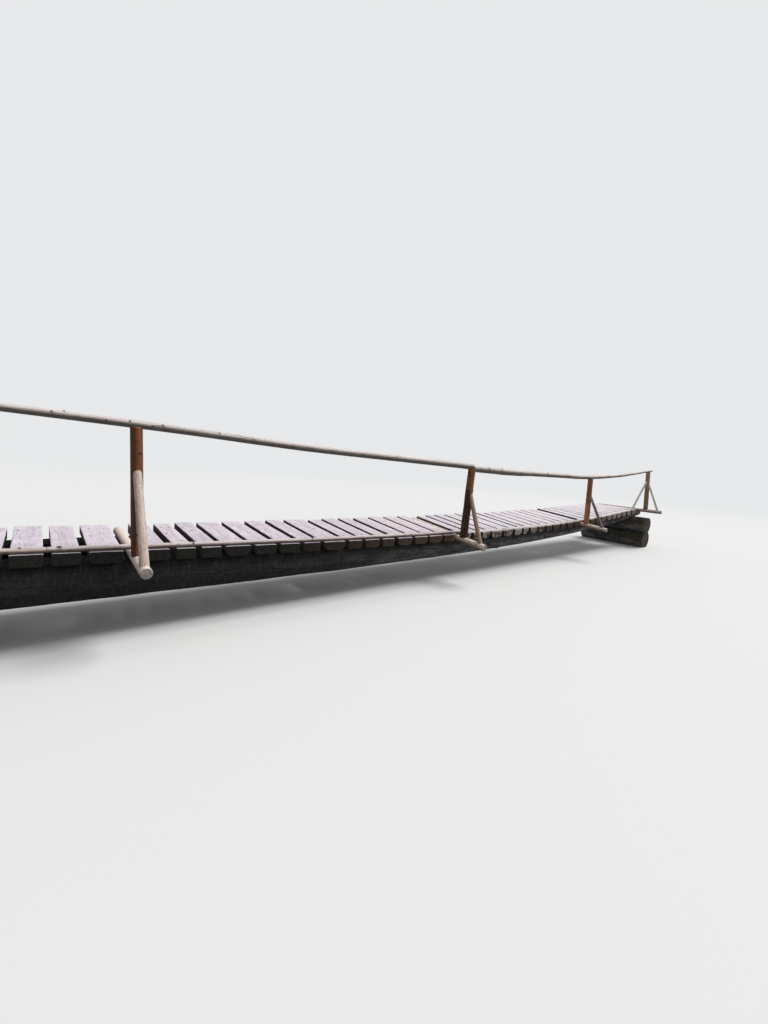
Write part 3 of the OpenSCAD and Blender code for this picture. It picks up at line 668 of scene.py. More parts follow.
def pole_finish(name, body, second, sky, ground, end, streak=None, knot_colour=(52, 38, 28),
                sky_bleach_highlight_share=0.85, ground_shade_share=0.9, checks=0.5, moss=0.0, bark=0.0, rough=0.62,
                streak_width=0.014, flecks=0.25):
    """Round poles: `body` and, in the second zone, `second`; paler towards `sky` on the upper
    side, partly bleaching and partly painted highlight, and darker towards `ground` on the
    underside, which is painted shade. Bark covers the second zone by its share."""
    finish, t, shader, wood, masks, zone = new_finish(name)
    tone, cut, knot = masks[0], masks[1], masks[2]
    normal = t.add("TexCoord").outputs["Normal"]
    grain = t.group("Grain", {"Wood": wood, "Streak Width": streak_width, "Stretch": 15.0})
    crack = t.group("Checks", {"Wood": wood, "Spacing": 0.026, "Amount": checks})
    cut_end = t.group("Cut End", {"Wood": wood, "Ring Width": 0.0045})
    knots = t.group("Knots", {"Wood": wood, "Knot": knot})
    facing = t.group("Facing", {"Normal": normal, "Wood": wood, "Ragged": 0.5})
    plates = t.group("Bark", {"Wood": wood, "Plate": 0.016})
    edge = t.maths("MULTIPLY_ADD", t.maths("SUBTRACT", t.noise(wood, 45.0, 3.0), 0.5), 0.9, zone)
    edge = t.step(edge, 0.42, 0.58)
    rugged = t.maths("MULTIPLY", edge, bark)
    base = t.mix(edge, tint(*body), tint(*second))
    dark = tuple(v * 0.58 for v in body) if streak is None else streak
    base = t.mix(t.maths("MULTIPLY", grain["Streaks"], 0.5), base, tint(*dark))
    base = t.mix(t.maths("MULTIPLY", grain["Patches"], 0.3), base, tint(*(v * 0.8 for v in second)))
    # Bleaching and painted highlight on what faces the sky
    base = t.mix(t.maths("MULTIPLY", facing["Sky"], sky_bleach_highlight_share), base, tint(*sky))
    # Painted shade on what faces the ground
    base = t.mix(t.maths("MULTIPLY", facing["Ground"], ground_shade_share), base, tint(*ground))
    base = t.mix(t.maths("MULTIPLY", grain["Fibres"], 0.16), base, tint(*(min(255, v * 1.15) for v in sky)))
    fleck = t.step(t.noise(t.scaled(wood, 0.4, 1.0, 1.0), 75.0, 3.0, 0.6), 0.55, 0.63)
    base = t.mix(t.maths("MULTIPLY", fleck, flecks), base, tint(*(v * 0.75 for v in second)))
    base = t.mix(t.maths("MULTIPLY", plates["Furrows"], rugged), base, tint(28, 25, 21))
    base = t.mix(t.maths("MULTIPLY", knots["Swirl"], 0.5), base, tint(*(v * 0.62 for v in body)))
    base = t.mix(t.maths("MULTIPLY", knots["Core"], 0.92), base, tint(*knot_colour))
    base = t.mix(t.maths("MULTIPLY", crack["Cracks"], 0.8), base, tint(40, 32, 26))
    cover = t.group("Moss", {"Wood": wood, "Amount": moss, "Sky": facing["Sky"]})
    base = t.mix(t.maths("MULTIPLY", cover["Cover"], 0.75 if moss else 0.0), base, tint(86, 92, 52))
    ends = t.mix(cut_end["Rings"], tint(*(v * 0.82 for v in end)), tint(*end))
    ends = t.mix(t.maths("MULTIPLY", grain["Patches"], 0.5), ends, tint(*(v * 0.62 for v in end)))
    ends = t.mix(t.maths("MULTIPLY", cut_end["Splits"], 0.85), ends, tint(40, 32, 26))
    t.plug(t.mix(t.step(cut, 0.3, 0.75), base, ends), shader.inputs["Base Color"])
    gloss = t.maths("MULTIPLY_ADD", grain["Streaks"], 0.2, rough - 0.06)
    t.plug(t.maths("MULTIPLY_ADD", rugged, 0.2, gloss), shader.inputs["Roughness"])
    bumped(t, shader, [
        (grain["Height"], 0.0022, 0.6), (crack["Height"], 0.003, 0.8),
        (t.maths("MULTIPLY", plates["Plates"], rugged), 0.006, 0.9),
        (t.maths("MULTIPLY", cut_end["Splits"], -1.0), 0.003, 0.8),
    ])
    return finish


def log_finish(name, body, pale, green):
    """Old logs: dark, bluish weathered wood with pale streaks, water stains, moss; painted shade darkens
    the upper side and a painted bounce light pales the underside.
    """
    finish, t, shader, wood, masks, zone = new_finish(name)
    cut, knot = masks[1], masks[2]
    normal = t.add("TexCoord").outputs["Normal"]
    grain = t.group("Grain", {"Wood": wood, "Streak Width": 0.03, "Stretch": 18.0})
    checks = t.group("Checks", {"Wood": wood, "Spacing": 0.055, "Amount": 0.85})
    cut_end = t.group("Cut End", {"Wood": wood, "Ring Width": 0.008})
    knots = t.group("Knots", {"Wood": wood, "Knot": knot})
    facing = t.group("Facing", {"Normal": normal, "Wood": wood, "Ragged": 0.6})
    moss = t.group("Moss", {"Wood": wood, "Amount": green, "Sky": facing["Sky"]})
    bark = t.group("Bark", {"Wood": wood, "Plate": 0.035})
    base = t.mix(grain["Streaks"], tint(*body), tint(*pale))
    base = t.mix(t.maths("MULTIPLY", t.along(4.5, 8.0), 0.8), base, tint(118, 112, 111))
    # Painted shade of the deck on the upper side.
    base = t.mix(t.maths("MULTIPLY", facing["Sky"], 0.55), base, tint(20, 20, 20))
    # Painted light bounced from below on the underside, from x = 5.5 on.
    underside = t.maths("MULTIPLY", facing["Ground"], t.along(5.5, 9.0))
    base = t.mix(t.maths("MULTIPLY", underside, 0.55), base, tint(168, 160, 164))
    base = t.mix(t.maths("MULTIPLY", grain["Patches"], 0.7), base, tint(*(v * 0.68 for v in body)))
    runs = t.noise(t.scaled(wood, 1.0, 0.2, 0.2), 55.0, 3.0, 0.6)
    base = t.mix(t.maths("MULTIPLY", t.step(runs, 0.53, 0.66), 0.4), base, tint(*(v * 1.5 for v in pale)))
    base = t.mix(t.maths("MULTIPLY", t.step(runs, 0.46, 0.32), 0.5), base, tint(26, 26, 28))
    base = t.mix(t.maths("MULTIPLY", bark["Furrows"], 0.45), base, tint(24, 23, 22))
    base = t.mix(t.maths("MULTIPLY", knots["Core"], 0.8), base, tint(28, 24, 21))
    base = t.mix(t.maths("MULTIPLY", checks["Cracks"], 0.85), base, tint(14, 13, 12))
    base = t.mix(t.maths("MULTIPLY", moss["Cover"], 0.7), base, tint(74, 80, 44))
    ends = t.mix(cut_end["Rings"], tint(70, 62, 54), tint(108, 96, 84))
    ends = t.mix(t.maths("MULTIPLY", grain["Patches"], 0.6), ends, tint(58, 54, 48))
    ends = t.mix(t.maths("MULTIPLY", cut_end["Splits"], 0.9), ends, tint(18, 16, 14))
    t.plug(t.mix(t.step(cut, 0.3, 0.75), base, ends), shader.inputs["Base Color"])
    rough = t.maths("MULTIPLY_ADD", grain["Streaks"], 0.14, 0.74)
    t.plug(t.maths("MULTIPLY_ADD", moss["Cover"], 0.1, rough), shader.inputs["Roughness"])
    bumped(t, shader, [
        (grain["Height"], 0.008, 0.7), (checks["Height"], 0.007, 0.9), (bark["Plates"], 0.005, 0.5),
        (runs, 0.004, 0.4), (moss["Height"], 0.01, 0.8),
        (t.maths("MULTIPLY", cut_end["Splits"], -1.0), 0.006, 0.9),
    ])
    return finish


def iron_finish():
    """Rusted nail heads."""
    finish, t, shader, wood, masks, zone = new_finish("rusted_iron")
    scale = t.noise(wood, 500.0, 4.0, 0.7)
    rust = t.step(scale, 0.35, 0.62)
    t.plug(t.mix(rust, tint(58, 46, 42), tint(112, 62, 38)), shader.inputs["Base Color"])
    t.plug(t.maths("MULTIPLY_ADD", rust, 0.35, 0.45), shader.inputs["Roughness"])
    t.plug(t.maths("MULTIPLY_ADD", rust, -0.7, 0.8), shader.inputs["Metallic"])
    bumped(t, shader, [(scale, 0.001, 0.7)])
    return finish


# ---------------------------------------------------------------------- planks


def plank_segment(i):
    before = np.cumsum(BAY_PLANKS)
    return i + 1 + int(np.searchsorted(before, i, side="right"))


def plank_extent(i, node):
    """Width, shift along the bridge and far end of plank i, read from its solid."""
    s = plank_segment(i)
    origin, axes = seat_axes(s)
    count = len(node.data.vertices)
    points = np.empty(count * 3)
    node.data.vertices.foreach_get("co", points)
    local = (points.reshape(-1, 3) - origin) @ axes.T
    mine = local[np.abs(local[:, 0]) < (EDGES[s + 1] - EDGES[s]) / 2]
    low, high = mine.min(0), mine.max(0)
    return high[0] - low[0], (high[0] + low[0]) / 2, high[1]


def plank_surface(i, node):
    """Plank i: its outline carried across the bridge, from the open side to the rail side.

    The outline is the sawn face, x from +h to -h at full height, then the round back,
    r = min(R, h / |cos a|, t / |sin a|) below the face's middle. Noise along the plank
    moves the half width h (wane) and the round R; the face cups and drops at its edges."""
    width, shift, open_end = plank_extent(i, node)
    draw = np.random.default_rng(700 + i)
    rim = 0.003
    rail_end = -DECK_WIDTH / 2 + draw.uniform(0.0, 0.009)
    y = np.linspace(open_end - rim, rail_end + rim, 46)[:, None]
    flow = y / 0.16 + 40
    half_right = width / 2 + 0.0005 + 0.002 * uneven(np.full_like(y, 3.5), flow, 900 + i)
    half_left = width / 2 + 0.0005 + 0.002 * uneven(np.full_like(y, 7.5), flow, 900 + i)
    half_right = half_right + 0.0016 * uneven(np.full_like(y, 9.5), flow * 6, 900 + i)
    half_left = half_left + 0.0016 * uneven(np.full_like(y, 12.5), flow * 6, 900 + i)
    u = np.sin(np.linspace(np.pi / 2, -np.pi / 2, 26))[None]
    x_face = np.where(u > 0, half_right, half_left) * u
    inset = width / 2 - np.abs(x_face)
    chip = 0.003 + 0.003 * np.clip(uneven(u * 0 + 2.5 + (u > 0) * 3, flow * 2.5, 950 + i), 0, 1)
    z_face = PLANK_THICK - chip * np.exp(-inset / 0.0035)
    z_face = z_face + 0.0009 * uneven(u * 3 + 20, flow * 1.5, 960 + i) - 0.0008
    a = np.linspace(np.pi, 2 * np.pi, 36)[None, 1:-1]
    bay = int(np.searchsorted(np.cumsum(BAY_PLANKS), i, side="right"))
    round_r = max(SLAB_RADIUS[bay], 0.52 * width)
    round_r = round_r * (1 + 0.014 * uneven(a * 2.4, flow, 970 + i) - 0.01)
    half = np.where(np.cos(a) > 0, half_right, half_left)
    r = np.minimum(round_r, half / np.maximum(np.abs(np.cos(a)), 1e-6))
    r = np.minimum(r, PLANK_THICK / np.maximum(np.abs(np.sin(a)), 1e-6))
    x_back, z_back = r * np.cos(a), PLANK_THICK + r * np.sin(a)
    x = np.concatenate([x_face, x_back], 1) + shift
    z = np.concatenate([z_face, z_back], 1)
    local = np.stack([x, y + 0 * x, z], -1)
    rings = on_seat(plank_segment(i), local.reshape(-1, 3)).reshape(local.shape)
    pith = draw.uniform([-0.02, -0.01], [0.02, 0.02])
    wood = np.stack([y + 0 * x + 7.3 * i, x - shift + pith[0], z - PLANK_THICK - pith[1]], -1)
    sawn = np.concatenate([np.ones_like(x_face), np.zeros_like(x_back)], 1)
    tone = PLANK_TONE.get(i, draw.uniform(0.15, 0.75))
    knot = np.zeros_like(x)
    for _ in range(draw.integers(0, 3)):
        cx, cy = draw.uniform(-0.4, 0.4) * width, draw.uniform(-0.45, 0.45)
        gap = ((x - shift - cx) / 0.014) ** 2 + ((y - cy) / 0.02) ** 2
        knot = np.maximum(knot, np.exp(-gap) * sawn)
    look = np.stack([np.full_like(x, tone), np.zeros_like(x), knot, sawn], -1)
    return closed_tube(rings, wood, look, rim, 800 + i, 0.0016), (width, shift, open_end)


# Planks that stand out by their tone, from greyer (0) to pinker (1)
PLANK_TONE = {8: 0.62, 9: 0.55, 10: 0.5, 22: 0.25, 25: 0.95, 26: 1.0, 27: 0.9}


def nail_heads(places, normals, radius=0.006):
    """Low domes: rings of 8 points at shares 1, 0.9 and 0.5 of the radius, rising by
    share-dependent heights along the normal, and a middle point. All worked out at once."""
    places, normals = np.asarray(places, float), unit(np.asarray(normals, float))
    count = len(places)
    helper = np.where(np.abs(normals[:, :1]) < 0.7, [[1.0, 0, 0]], [[0, 1.0, 0]])
    side = unit(np.cross(normals, helper))
    other = np.cross(normals, side)
    a = np.arange(8) * np.pi / 4
    circle = np.cos(a)[None, :, None] * side[:, None] + np.sin(a)[None, :, None] * other[:, None]
    shares, rises = np.array([1.0, 1.0, 0.62]), np.array([-0.5, 0.18, 0.42])
    rings = places[:, None, None] + radius * (
        shares[None, :, None, None] * circle[:, None] + rises[None, :, None, None] * normals[:, None, None]
    )
    tops = places + normals * radius * 0.5
    points = np.concatenate([rings.reshape(-1, 3), tops])
    base = (np.arange(count) * 24)[:, None]
    quads = (base[:, None] + ring_faces(3, 8)[None]).reshape(-1, 4)
    j = np.arange(8)
    fans = np.stack([
        np.broadcast_to(count * 24 + np.arange(count)[:, None], (count, 8)),
        base + 16 + j, base + 16 + (j + 1) % 8,
    ], -1).reshape(-1, 3)
    look = np.zeros((len(points), 4))
    return dict(points=points, quads=quads, fans=fans, wood=points.copy(), look=look)


def build_planks(finish, iron):
    """All planks, four to a piece as in the solids, and the nails over the two logs."""
    total = sum(BAY_PLANKS)
    starts = [g * total // 13 for g in range(14)]
    heads, directions = [], []
    for g in range(13):
        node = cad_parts[f"deck_planks_{g + 1:02d}"]
        surfaces = []
        for i in range(starts[g], starts[g + 1]):
            surface, (width, shift, open_end) = plank_surface(i, node)
            surfaces.append(surface)
            draw = np.random.default_rng(4000 + i)
            for side in (-1, 1):
                for across in (-0.27, 0.27):
                    spot = [shift + across * width + draw.uniform(-0.012, 0.012),
                            side * LOG_GAUGE / 2 + draw.uniform(-0.03, 0.03), PLANK_THICK - 0.0005]
                    heads.append(on_seat(plank_segment(i), spot))
                    directions.append(seat_axes(plank_segment(i))[1][2])
        make_piece(f"planks_{g + 1:02d}", surfaces, finish, [f"deck_planks_{g + 1:02d}"])
    make_piece("deck_nails", [nail_heads(heads, directions, 0.0065)], iron, ())


# ----------------------------------------------------------- logs and sleepers


def bend_points():
    """Places where the straight stretches of a stringer start and end."""
    gap = 0.058 / 4
    places, segments = [], []
    for s in range(LAST_SEGMENT + 1):
        places.append(EDGES[s] + (gap if s > 0 else 0))
        places.append(EDGES[s + 1] - (gap if s < LAST_SEGMENT else 0))
        segments.extend([s, s])
    return np.array(places), np.array(segments)


def log_line(side, x):
    """Centre of a stringer: below its hewn flat by r cos(flat angle), square to the roll."""
    places, segments = bend_points()
    y = side * LOG_GAUGE / 2
    roll = np.arctan(SLOPE_ACROSS[segments])
    drop = log_radius(places) * np.cos(FLAT_ANGLE)
    z = seat_height(segments, places, y) - drop * np.cos(roll)
    centre_y = y + drop * np.sin(roll)
    centre = np.stack([x, np.interp(x, places, centre_y), np.interp(x, places, z)], 1)
    return centre, np.interp(x, places, roll)


def build_log(name, side, seed, finish):
    """The tilted, uneven cuts of a log stay inside its solid's ends."""
    start, end = EDGES[0] + 0.005, EDGES[-1] - 0.01

    def line(share):
        return log_line(side, start + (end - start) * share)[0]

    def up(share):
        roll = log_line(side, start + (end - start) * share)[1]
        return np.stack([0 * roll, -np.sin(roll), np.cos(roll)], 1)

    def radius(share):
        return log_radius(start + (end - start) * share)

    draw = np.random.default_rng(seed)
    knots = [
        (draw.uniform(0.3, 14.9), draw.uniform(120, 420) % 360, draw.uniform(0.02, 0.04),
         draw.uniform(0.003, 0.009))
        for _ in range(26)
    ]
    surface = pole(line, radius, seed, sides=72, top=up, lump=0.03, lump_length=0.7, ridge=0.012,
                   knots=knots, rim=0.008, step=0.045,
                   flats=[(90, lambda share: radius(share) * np.cos(FLAT_ANGLE))])
    make_piece(name + "_log", [surface], finish, [name])


def build_sleeper(name, x, sizes, seed, finish):
    thick, height, low = sizes
    half = SLEEPER_LENGTH / 2 - 0.0015
    z = low + height / 2
    flats = [(90, lambda share: np.full(len(share), height / 2)),
             (270, lambda share: np.full(len(share), height / 2))]
    surface = pole(straight((x, half, z), (x, -half, z)), taper(thick / 2, thick / 2), seed,
                   sides=56, lump=0.03, lump_length=0.3, ridge=0.012, flats=flats, rim=0.007,
                   knots=[(0.4, 200, 0.03, 0.006), (1.1, 340, 0.03, 0.006), (0.8, 20, 0.025, 0.005)])
    make_piece(name + "_log", [surface], finish, [name])


# ------------------------------------------------------- posts, braces, rails


def outrigger_point(k, y):
    z = OUTRIGGER_THICK[k] / 2 - NOTCH_DEPTH
    return on_seat(POST_SEGMENT[k], [POST_PLACE[k], y, z])


def outrigger_tip(k):
    return POST_Y - OUTRIGGER_REACH[k]


def build_outrigger(k, finish):
    """Outrigger k, from its hidden tail to its splintered tip on the rail side."""
    draw = np.random.default_rng(300 + k)
    r = OUTRIGGER_THICK[k] / 2
    knots = [(draw.uniform(1.2, 1.5), draw.uniform(60, 200), 0.014, 0.003),
             (draw.uniform(0.1, 0.5), draw.uniform(0, 180), 0.014, 0.003)]
    surface = pole(straight(outrigger_point(k, OUTRIGGER_TAIL), outrigger_point(k, outrigger_tip(k))),
                   taper(r, r), 310 + k, sides=36, lump=0.03, lump_length=0.22, knots=knots,
                   rim=0.006, step=0.02)
    make_piece(f"outrigger_{k + 1}_pole", [surface], finish, [f"outrigger_{k + 1}"])


def post_top(k):
    """Height of the post's top: a little above the underside of the higher pole on it."""
    x = np.array([rail_over_post(k)])
    over = [0] if k < 2 else [1] if k > 2 else [0, 1]
    highest = max(float(rail_line(n, x)[0][0, 2] - rail_line(n, x)[1][0]) for n in over)
    return (highest + 0.012 - post_foot(k)[2]) / post_axis(k)[2]


def build_post(k, finish, knots, zone, tone=0.5, lump=0.03):
    length = post_top(k)
    foot, axis = post_foot(k), post_axis(k)
    surface = pole(straight(foot, foot + axis * length), taper(POST_FOOT[k] / 2, POST_HEAD[k] / 2),
                   400 + 10 * k, sides=44, top=(0, -1, 0), lump=lump, lump_length=0.24, ridge=0.008,
                   knots=knots, rim=0.003, zone=zone, tone=tone, step=0.014)
    make_piece(f"post_{k + 1}_pole", [surface], finish, [f"post_{k + 1}"])


def shaded_side(a, share):
    """Zone of painted shade on a post's near-bank side: rises as cos a passes 1 - share."""
    return np.clip((np.cos(a) - 1 + share) / 0.35, 0, 1)


def brace_ends(k):
    foot = outrigger_point(k, outrigger_tip(k) + BRACE_INSET)
    return foot, post_foot(k) + BRACE_RISE[k] * post_axis(k)


def build_brace(k, finish, zone=None):
    foot, head = brace_ends(k)
    r = BRACE_THICK[k] / 2
    draw = np.random.default_rng(500 + k)
    knots = [(draw.uniform(0.15, 0.3), draw.uniform(30, 150), 0.011, 0.003),
             (draw.uniform(0.4, 0.6), draw.uniform(30, 150), 0.011, 0.003)]
    surface = pole(straight(foot, head), taper(r, r * 0.92), 510 + k, sides=28, top=(-1, 0, 0),
                   lump=0.035, lump_length=0.16, knots=knots, rim=0.004, zone=zone, step=0.014)
    make_piece(f"brace_{k + 1}_pole", [surface], finish, [f"brace_{k + 1}"])


def build_end_brace(name, k, s, toward, finish):
    """Lengthwise brace of an end post, down to the outer plank."""
    edge = DECK_START if toward > 0 else DECK_END
    x, y = edge + toward * 0.09, -DECK_WIDTH / 2 + 0.07
    foot = np.array([x, y, seat_height(s, x, y) + PLANK_THICK - 0.02])
    head = post_foot(k) + (BRACE_RISE[k] + 0.03) * post_axis(k)
    r = BRACE_THICK[k] / 2
    surface = pole(straight(foot, head), taper(r, r * 0.9), 560 + k, sides=28, top=(0, -1, 0),
                   lump=0.035, lump_length=0.16, rim=0.004, step=0.014,
                   knots=[(0.3, 60, 0.011, 0.003), (0.52, 120, 0.011, 0.003)])
    make_piece(name + "_pole", [surface], finish, [name])


def build_rail(n, name, finish, knots, lump, zone=None):
    x0, x1 = RAILS[n]["x"]

    def line(share):
        return rail_line(n, x0 + (x1 - x0) * share)[0]

    def radius(share):
        return rail_line(n, x0 + (x1 - x0) * share)[1]

    surface = pole(line, radius, 600 + n, sides=36, lump=lump, lump_length=0.3, ridge=0.008,
                   knots=knots, rim=0.006, zone=zone, step=0.03)
    make_piece(name + "_pole", [surface], finish, [name])


# ------------------------------------------------------------------------ kerb

KERB_START = 2
KERB_JOINT = BAY_PLANKS[0] - 1
KERB_END = POST_SEGMENT[2] + 1
STRIP_JOINT = POST_SEGMENT[3] - 2
STRIP_END = LAST_SEGMENT - 2
KERB_Y = -DECK_WIDTH / 2 + KERB_INSET


def plank_top(s, x, y):
    tilt = np.sqrt(1 + SLOPE_ALONG[s] ** 2 + SLOPE_ACROSS[s] ** 2)
    return seat_height(s, x, y) + (PLANK_THICK + 0.0003) * tilt


def kerb_base(e):
    """Highest plank surface under the kerb at segment edge e."""
    x = EDGES[e]
    return np.maximum(plank_top(e - 1, x, KERB_Y), plank_top(e, x, KERB_Y))


def build_kerb_pole(name, first, last, finish, knots):
    edges = np.arange(first, last + 1)
    x0, x1 = EDGES[first], EDGES[last]
    z = kerb_base(edges) + KERB_THICK / 2

    def line(share):
        x = x0 + (x1 - x0) * share
        return np.stack([x, KERB_Y + 0.004 * np.sin(x * 1.9), np.interp(x, EDGES[edges], z)], 1)

    surface = pole(line, taper(KERB_THICK / 2, KERB_THICK / 2), 640 + first, sides=28, lump=0.06,
                   lump_length=0.3, ridge=0.01, knots=knots, rim=0.005, step=0.03)
    make_piece(name + "_pole", [surface], finish, [name])


def build_kerb_strip(name, first, last, finish):
    """Half-round strip: flat below, z = h sin a above, with a height and width that vary."""
    edges = np.arange(first, last + 1)
    x0, x1 = EDGES[first], EDGES[last]
    rim = 0.003
    x = np.arange(x0 + rim, x1 - rim, 0.03)
    x = np.append(x, x1 - rim)[:, None]
    base = np.interp(x, EDGES[edges], kerb_base(edges))
    lift = np.interp(x, EDGES[edges], SLOPE_ACROSS[edges - 1]) * STRIP_WIDTH / 2
    turn = np.linspace(0, np.pi, 17)[None]
    flow = x / 0.22
    wide = STRIP_WIDTH / 2 * (0.96 + 0.05 * uneven(0 * x + 3.5, flow, 660 + first))
    high = STRIP_HEIGHT * (0.93 + 0.08 * uneven(0 * x + 8.5, flow, 660 + first))
    high = high * (1 + 0.04 * uneven(turn * 4, flow * 3, 661 + first))
    y_up = KERB_Y + wide * np.cos(turn)
    z_up = base + high * np.sin(turn) + lift * np.cos(turn)
    flat = np.linspace(-1, 1, 8)[None, 1:-1]
    y_low = KERB_Y + wide * flat
    z_low = base + lift * flat + 0.0002
    y, z = np.concatenate([y_up, y_low], 1), np.concatenate([z_up, z_low], 1)
    rings = np.stack([x + 0 * y, y, z], -1)
    wood = np.stack([x + 0 * y + first, y - KERB_Y, z - base - 0.004], -1)
    look = np.zeros(y.shape + (4,))
    look[..., 0] = 0.5
    surface = closed_tube(rings, wood, look, rim, 670 + first)
    make_piece(name + "_wood", [surface], finish, [name])


# ------------------------------------------------------------- build the bridge

plank_wood = plank_finish()
iron = iron_finish()
# Stringers: dark body colours that include painted shade of the deck, besides the old wood's own darkness.
log_wood = log_finish("dark_log", (33, 35, 38), (52, 53, 56), 0.42)
sleeper_wood = log_finish("sleeper_log", (52, 48, 43), (80, 74, 66), 0.7)

build_planks(plank_wood, iron)
build_log("stringer_rail_side", -1, 31, log_wood)
build_log("stringer_open_side", 1, 47, log_wood)
for label, x, sizes, seed in (
    ("near_sleeper_lower", 0.0, NEAR_SLEEPERS[0], 61), ("near_sleeper_upper", 0.0, NEAR_SLEEPERS[1], 67),
    ("far_sleeper_lower", FAR_SLEEPER_X, FAR_SLEEPERS[0], 71),
    ("far_sleeper_upper", FAR_SLEEPER_X, FAR_SLEEPERS[1], 77),
):
    build_sleeper(label, x, sizes, seed, sleeper_wood)

outrigger_wood = pole_finish(
    "peeled_outrigger", body=(206, 176, 160), second=(172, 142, 124), sky=(236, 220, 212),
    ground=(92, 72, 60), end=(206, 196, 188), checks=0.4, flecks=0.35)
for k in range(5):
    build_outrigger(k, outrigger_wood)

# Posts: `second` is painted shade on the near-bank side, where shaded_side sets the zone; the barked post's
# zone is also its bark, and the dull post's its greyer foot.
plain_post = pole_finish(
    "red_post", body=(146, 84, 48), second=(40, 28, 17), sky=(166, 108, 74), ground=(76, 48, 32),
    end=(176, 150, 124), streak=(92, 52, 32), checks=0.35, sky_bleach_highlight_share=0.4, ground_shade_share=0.3)
barked_post = pole_finish(
    "barked_post", body=(160, 106, 68), second=(64, 53, 38), sky=(150, 112, 80), ground=(60, 47, 34),
    end=(160, 136, 110), streak=(72, 46, 28), checks=0.4, sky_bleach_highlight_share=0.4, ground_shade_share=0.3,
    moss=0.5, bark=1.0, rough=0.75)
bright_post = pole_finish(
    "bright_post", body=(192, 126, 88), second=(124, 80, 56), sky=(200, 142, 106), ground=(96, 60, 40),
    end=(176, 150, 124), streak=(112, 62, 42), checks=0.3, sky_bleach_highlight_share=0.4, ground_shade_share=0.3)
dull_post = pole_finish(
    "dull_post", body=(192, 148, 112), second=(124, 110, 84), sky=(196, 158, 124), ground=(92, 70, 52),
    end=(176, 150, 124), streak=(104, 74, 52), checks=0.4, sky_bleach_highlight_share=0.4, ground_shade_share=0.3)

build_post(0, plain_post, [(0.5, 60, 0.014, 0.004), (0.85, 140, 0.012, 0.003)],
           lambda s, a: shaded_side(a, 0.75))
build_post(1, plain_post, [(0.885, 118, 0.017, 0.004), (0.46, 170, 0.012, 0.002), (0.2, 70, 0.014, 0.003)],
           lambda s, a: shaded_side(a, 0.85))
build_post(2, barked_post, [(0.7, 120, 0.016, 0.004), (0.3, 60, 0.018, 0.006), (0.86, 60, 0.014, 0.003)],
           lambda s, a: np.clip((0.72 - s) / 0.12, 0, 1) + 0.5 * shaded_side(a, 0.5), lump=0.05)
build_post(3, bright_post, [(0.25, 100, 0.014, 0.003), (0.6, 60, 0.014, 0.004)],
           lambda s, a: shaded_side(a, 0.7) * np.clip((s - 0.3) / 0.2, 0, 1))
build_post(4, dull_post, [(0.3, 100, 0.014, 0.003), (0.7, 80, 0.014, 0.003)],
           lambda s, a: np.clip((0.6 - s) / 0.2, 0, 1))

tan_brace = pole_finish(
    "tan_brace", body=(130, 104, 84), second=(104, 82, 64), sky=(188, 162, 140),
    ground=(70, 54, 42), end=(206, 192, 174), checks=0.35)
speckled_brace = pole_finish(
    "speckled_brace", body=(214, 190, 176), second=(128, 102, 80), sky=(226, 206, 196),
    ground=(110, 88, 70), end=(206, 192, 174), streak=(178, 148, 128), checks=0.25, flecks=0.4)
grey_brace = pole_finish(
    "grey_brace", body=(100, 80, 78), second=(178, 168, 162), sky=(150, 134, 128),
    ground=(60, 46, 38), end=(196, 184, 166), checks=0.35)
cream_brace = pole_finish(
    "cream_brace", body=(246, 236, 226), second=(232, 218, 206), sky=(244, 235, 226),
    ground=(200, 184, 170), end=(214, 204, 190), streak=(190, 170, 152), checks=0.3,
    ground_shade_share=0.4)
build_brace(0, tan_brace)
# Brace 2's zone is its side towards -X, where `second` is painted shade.
build_brace(1, speckled_brace, lambda s, a: np.clip((np.sin(a) - 0.2) / 0.6, 0, 1))
build_brace(2, tan_brace)
build_brace(3, grey_brace, lambda s, a: np.where(s > 0.5, 1.0, 0.0))
build_brace(4, cream_brace)
build_end_brace("end_brace_near", 0, 1, 1, cream_brace)
build_end_brace("end_brace_far", 4, LAST_SEGMENT - 1, -1, cream_brace)

near_rail_wood = pole_finish(
    "pale_rail", body=(174, 158, 148), second=(138, 122, 108), sky=(240, 230, 227),
    ground=(44, 37, 28), end=(150, 132, 112), streak=(112, 92, 78), checks=0.45)
far_rail_wood = pole_finish(
    "bleached_rail", body=(182, 168, 158), second=(128, 112, 96), sky=(240, 231, 226),
    ground=(50, 42, 32), end=(84, 70, 58), streak=(104, 88, 72), checks=0.6, flecks=0.4)


def rail_knots(n, marks, spread, seed):
    """Knots of a handrail pole: those at known places (x, angle, size, height), then
    smaller ones scattered at even chances."""
    x0, x1 = RAILS[n]["x"]
    draw = np.random.default_rng(seed)
    known = [(x - x0, angle, size, height) for x, angle, size, height in marks]
    extra = [(draw.uniform(0.1, x1 - x0 - 0.1), draw.uniform(0, 360), draw.uniform(0.008, 0.013),
              draw.uniform(0.001, 0.003)) for _ in range(spread)]
    return known + extra


build_rail(0, "handrail_near", near_rail_wood, rail_knots(0, [
    (3.19, 118, 0.011, 0.003), (3.625, 150, 0.011, 0.002), (3.79, 183, 0.010, 0.002),
    (3.87, 148, 0.011, 0.002), (4.348, 150, 0.011, 0.002), (6.516, 165, 0.011, 0.002)], 14, 81), 0.025)
build_rail(1, "handrail_far", far_rail_wood, rail_knots(1, [
    (8.35, 170, 0.02, 0.006), (8.67, 130, 0.018, 0.006), (9.2, 200, 0.018, 0.005),
    (10.0, 150, 0.017, 0.005), (10.47, 190, 0.016, 0.005), (12.4, 150, 0.014, 0.004)], 20, 83), 0.07)

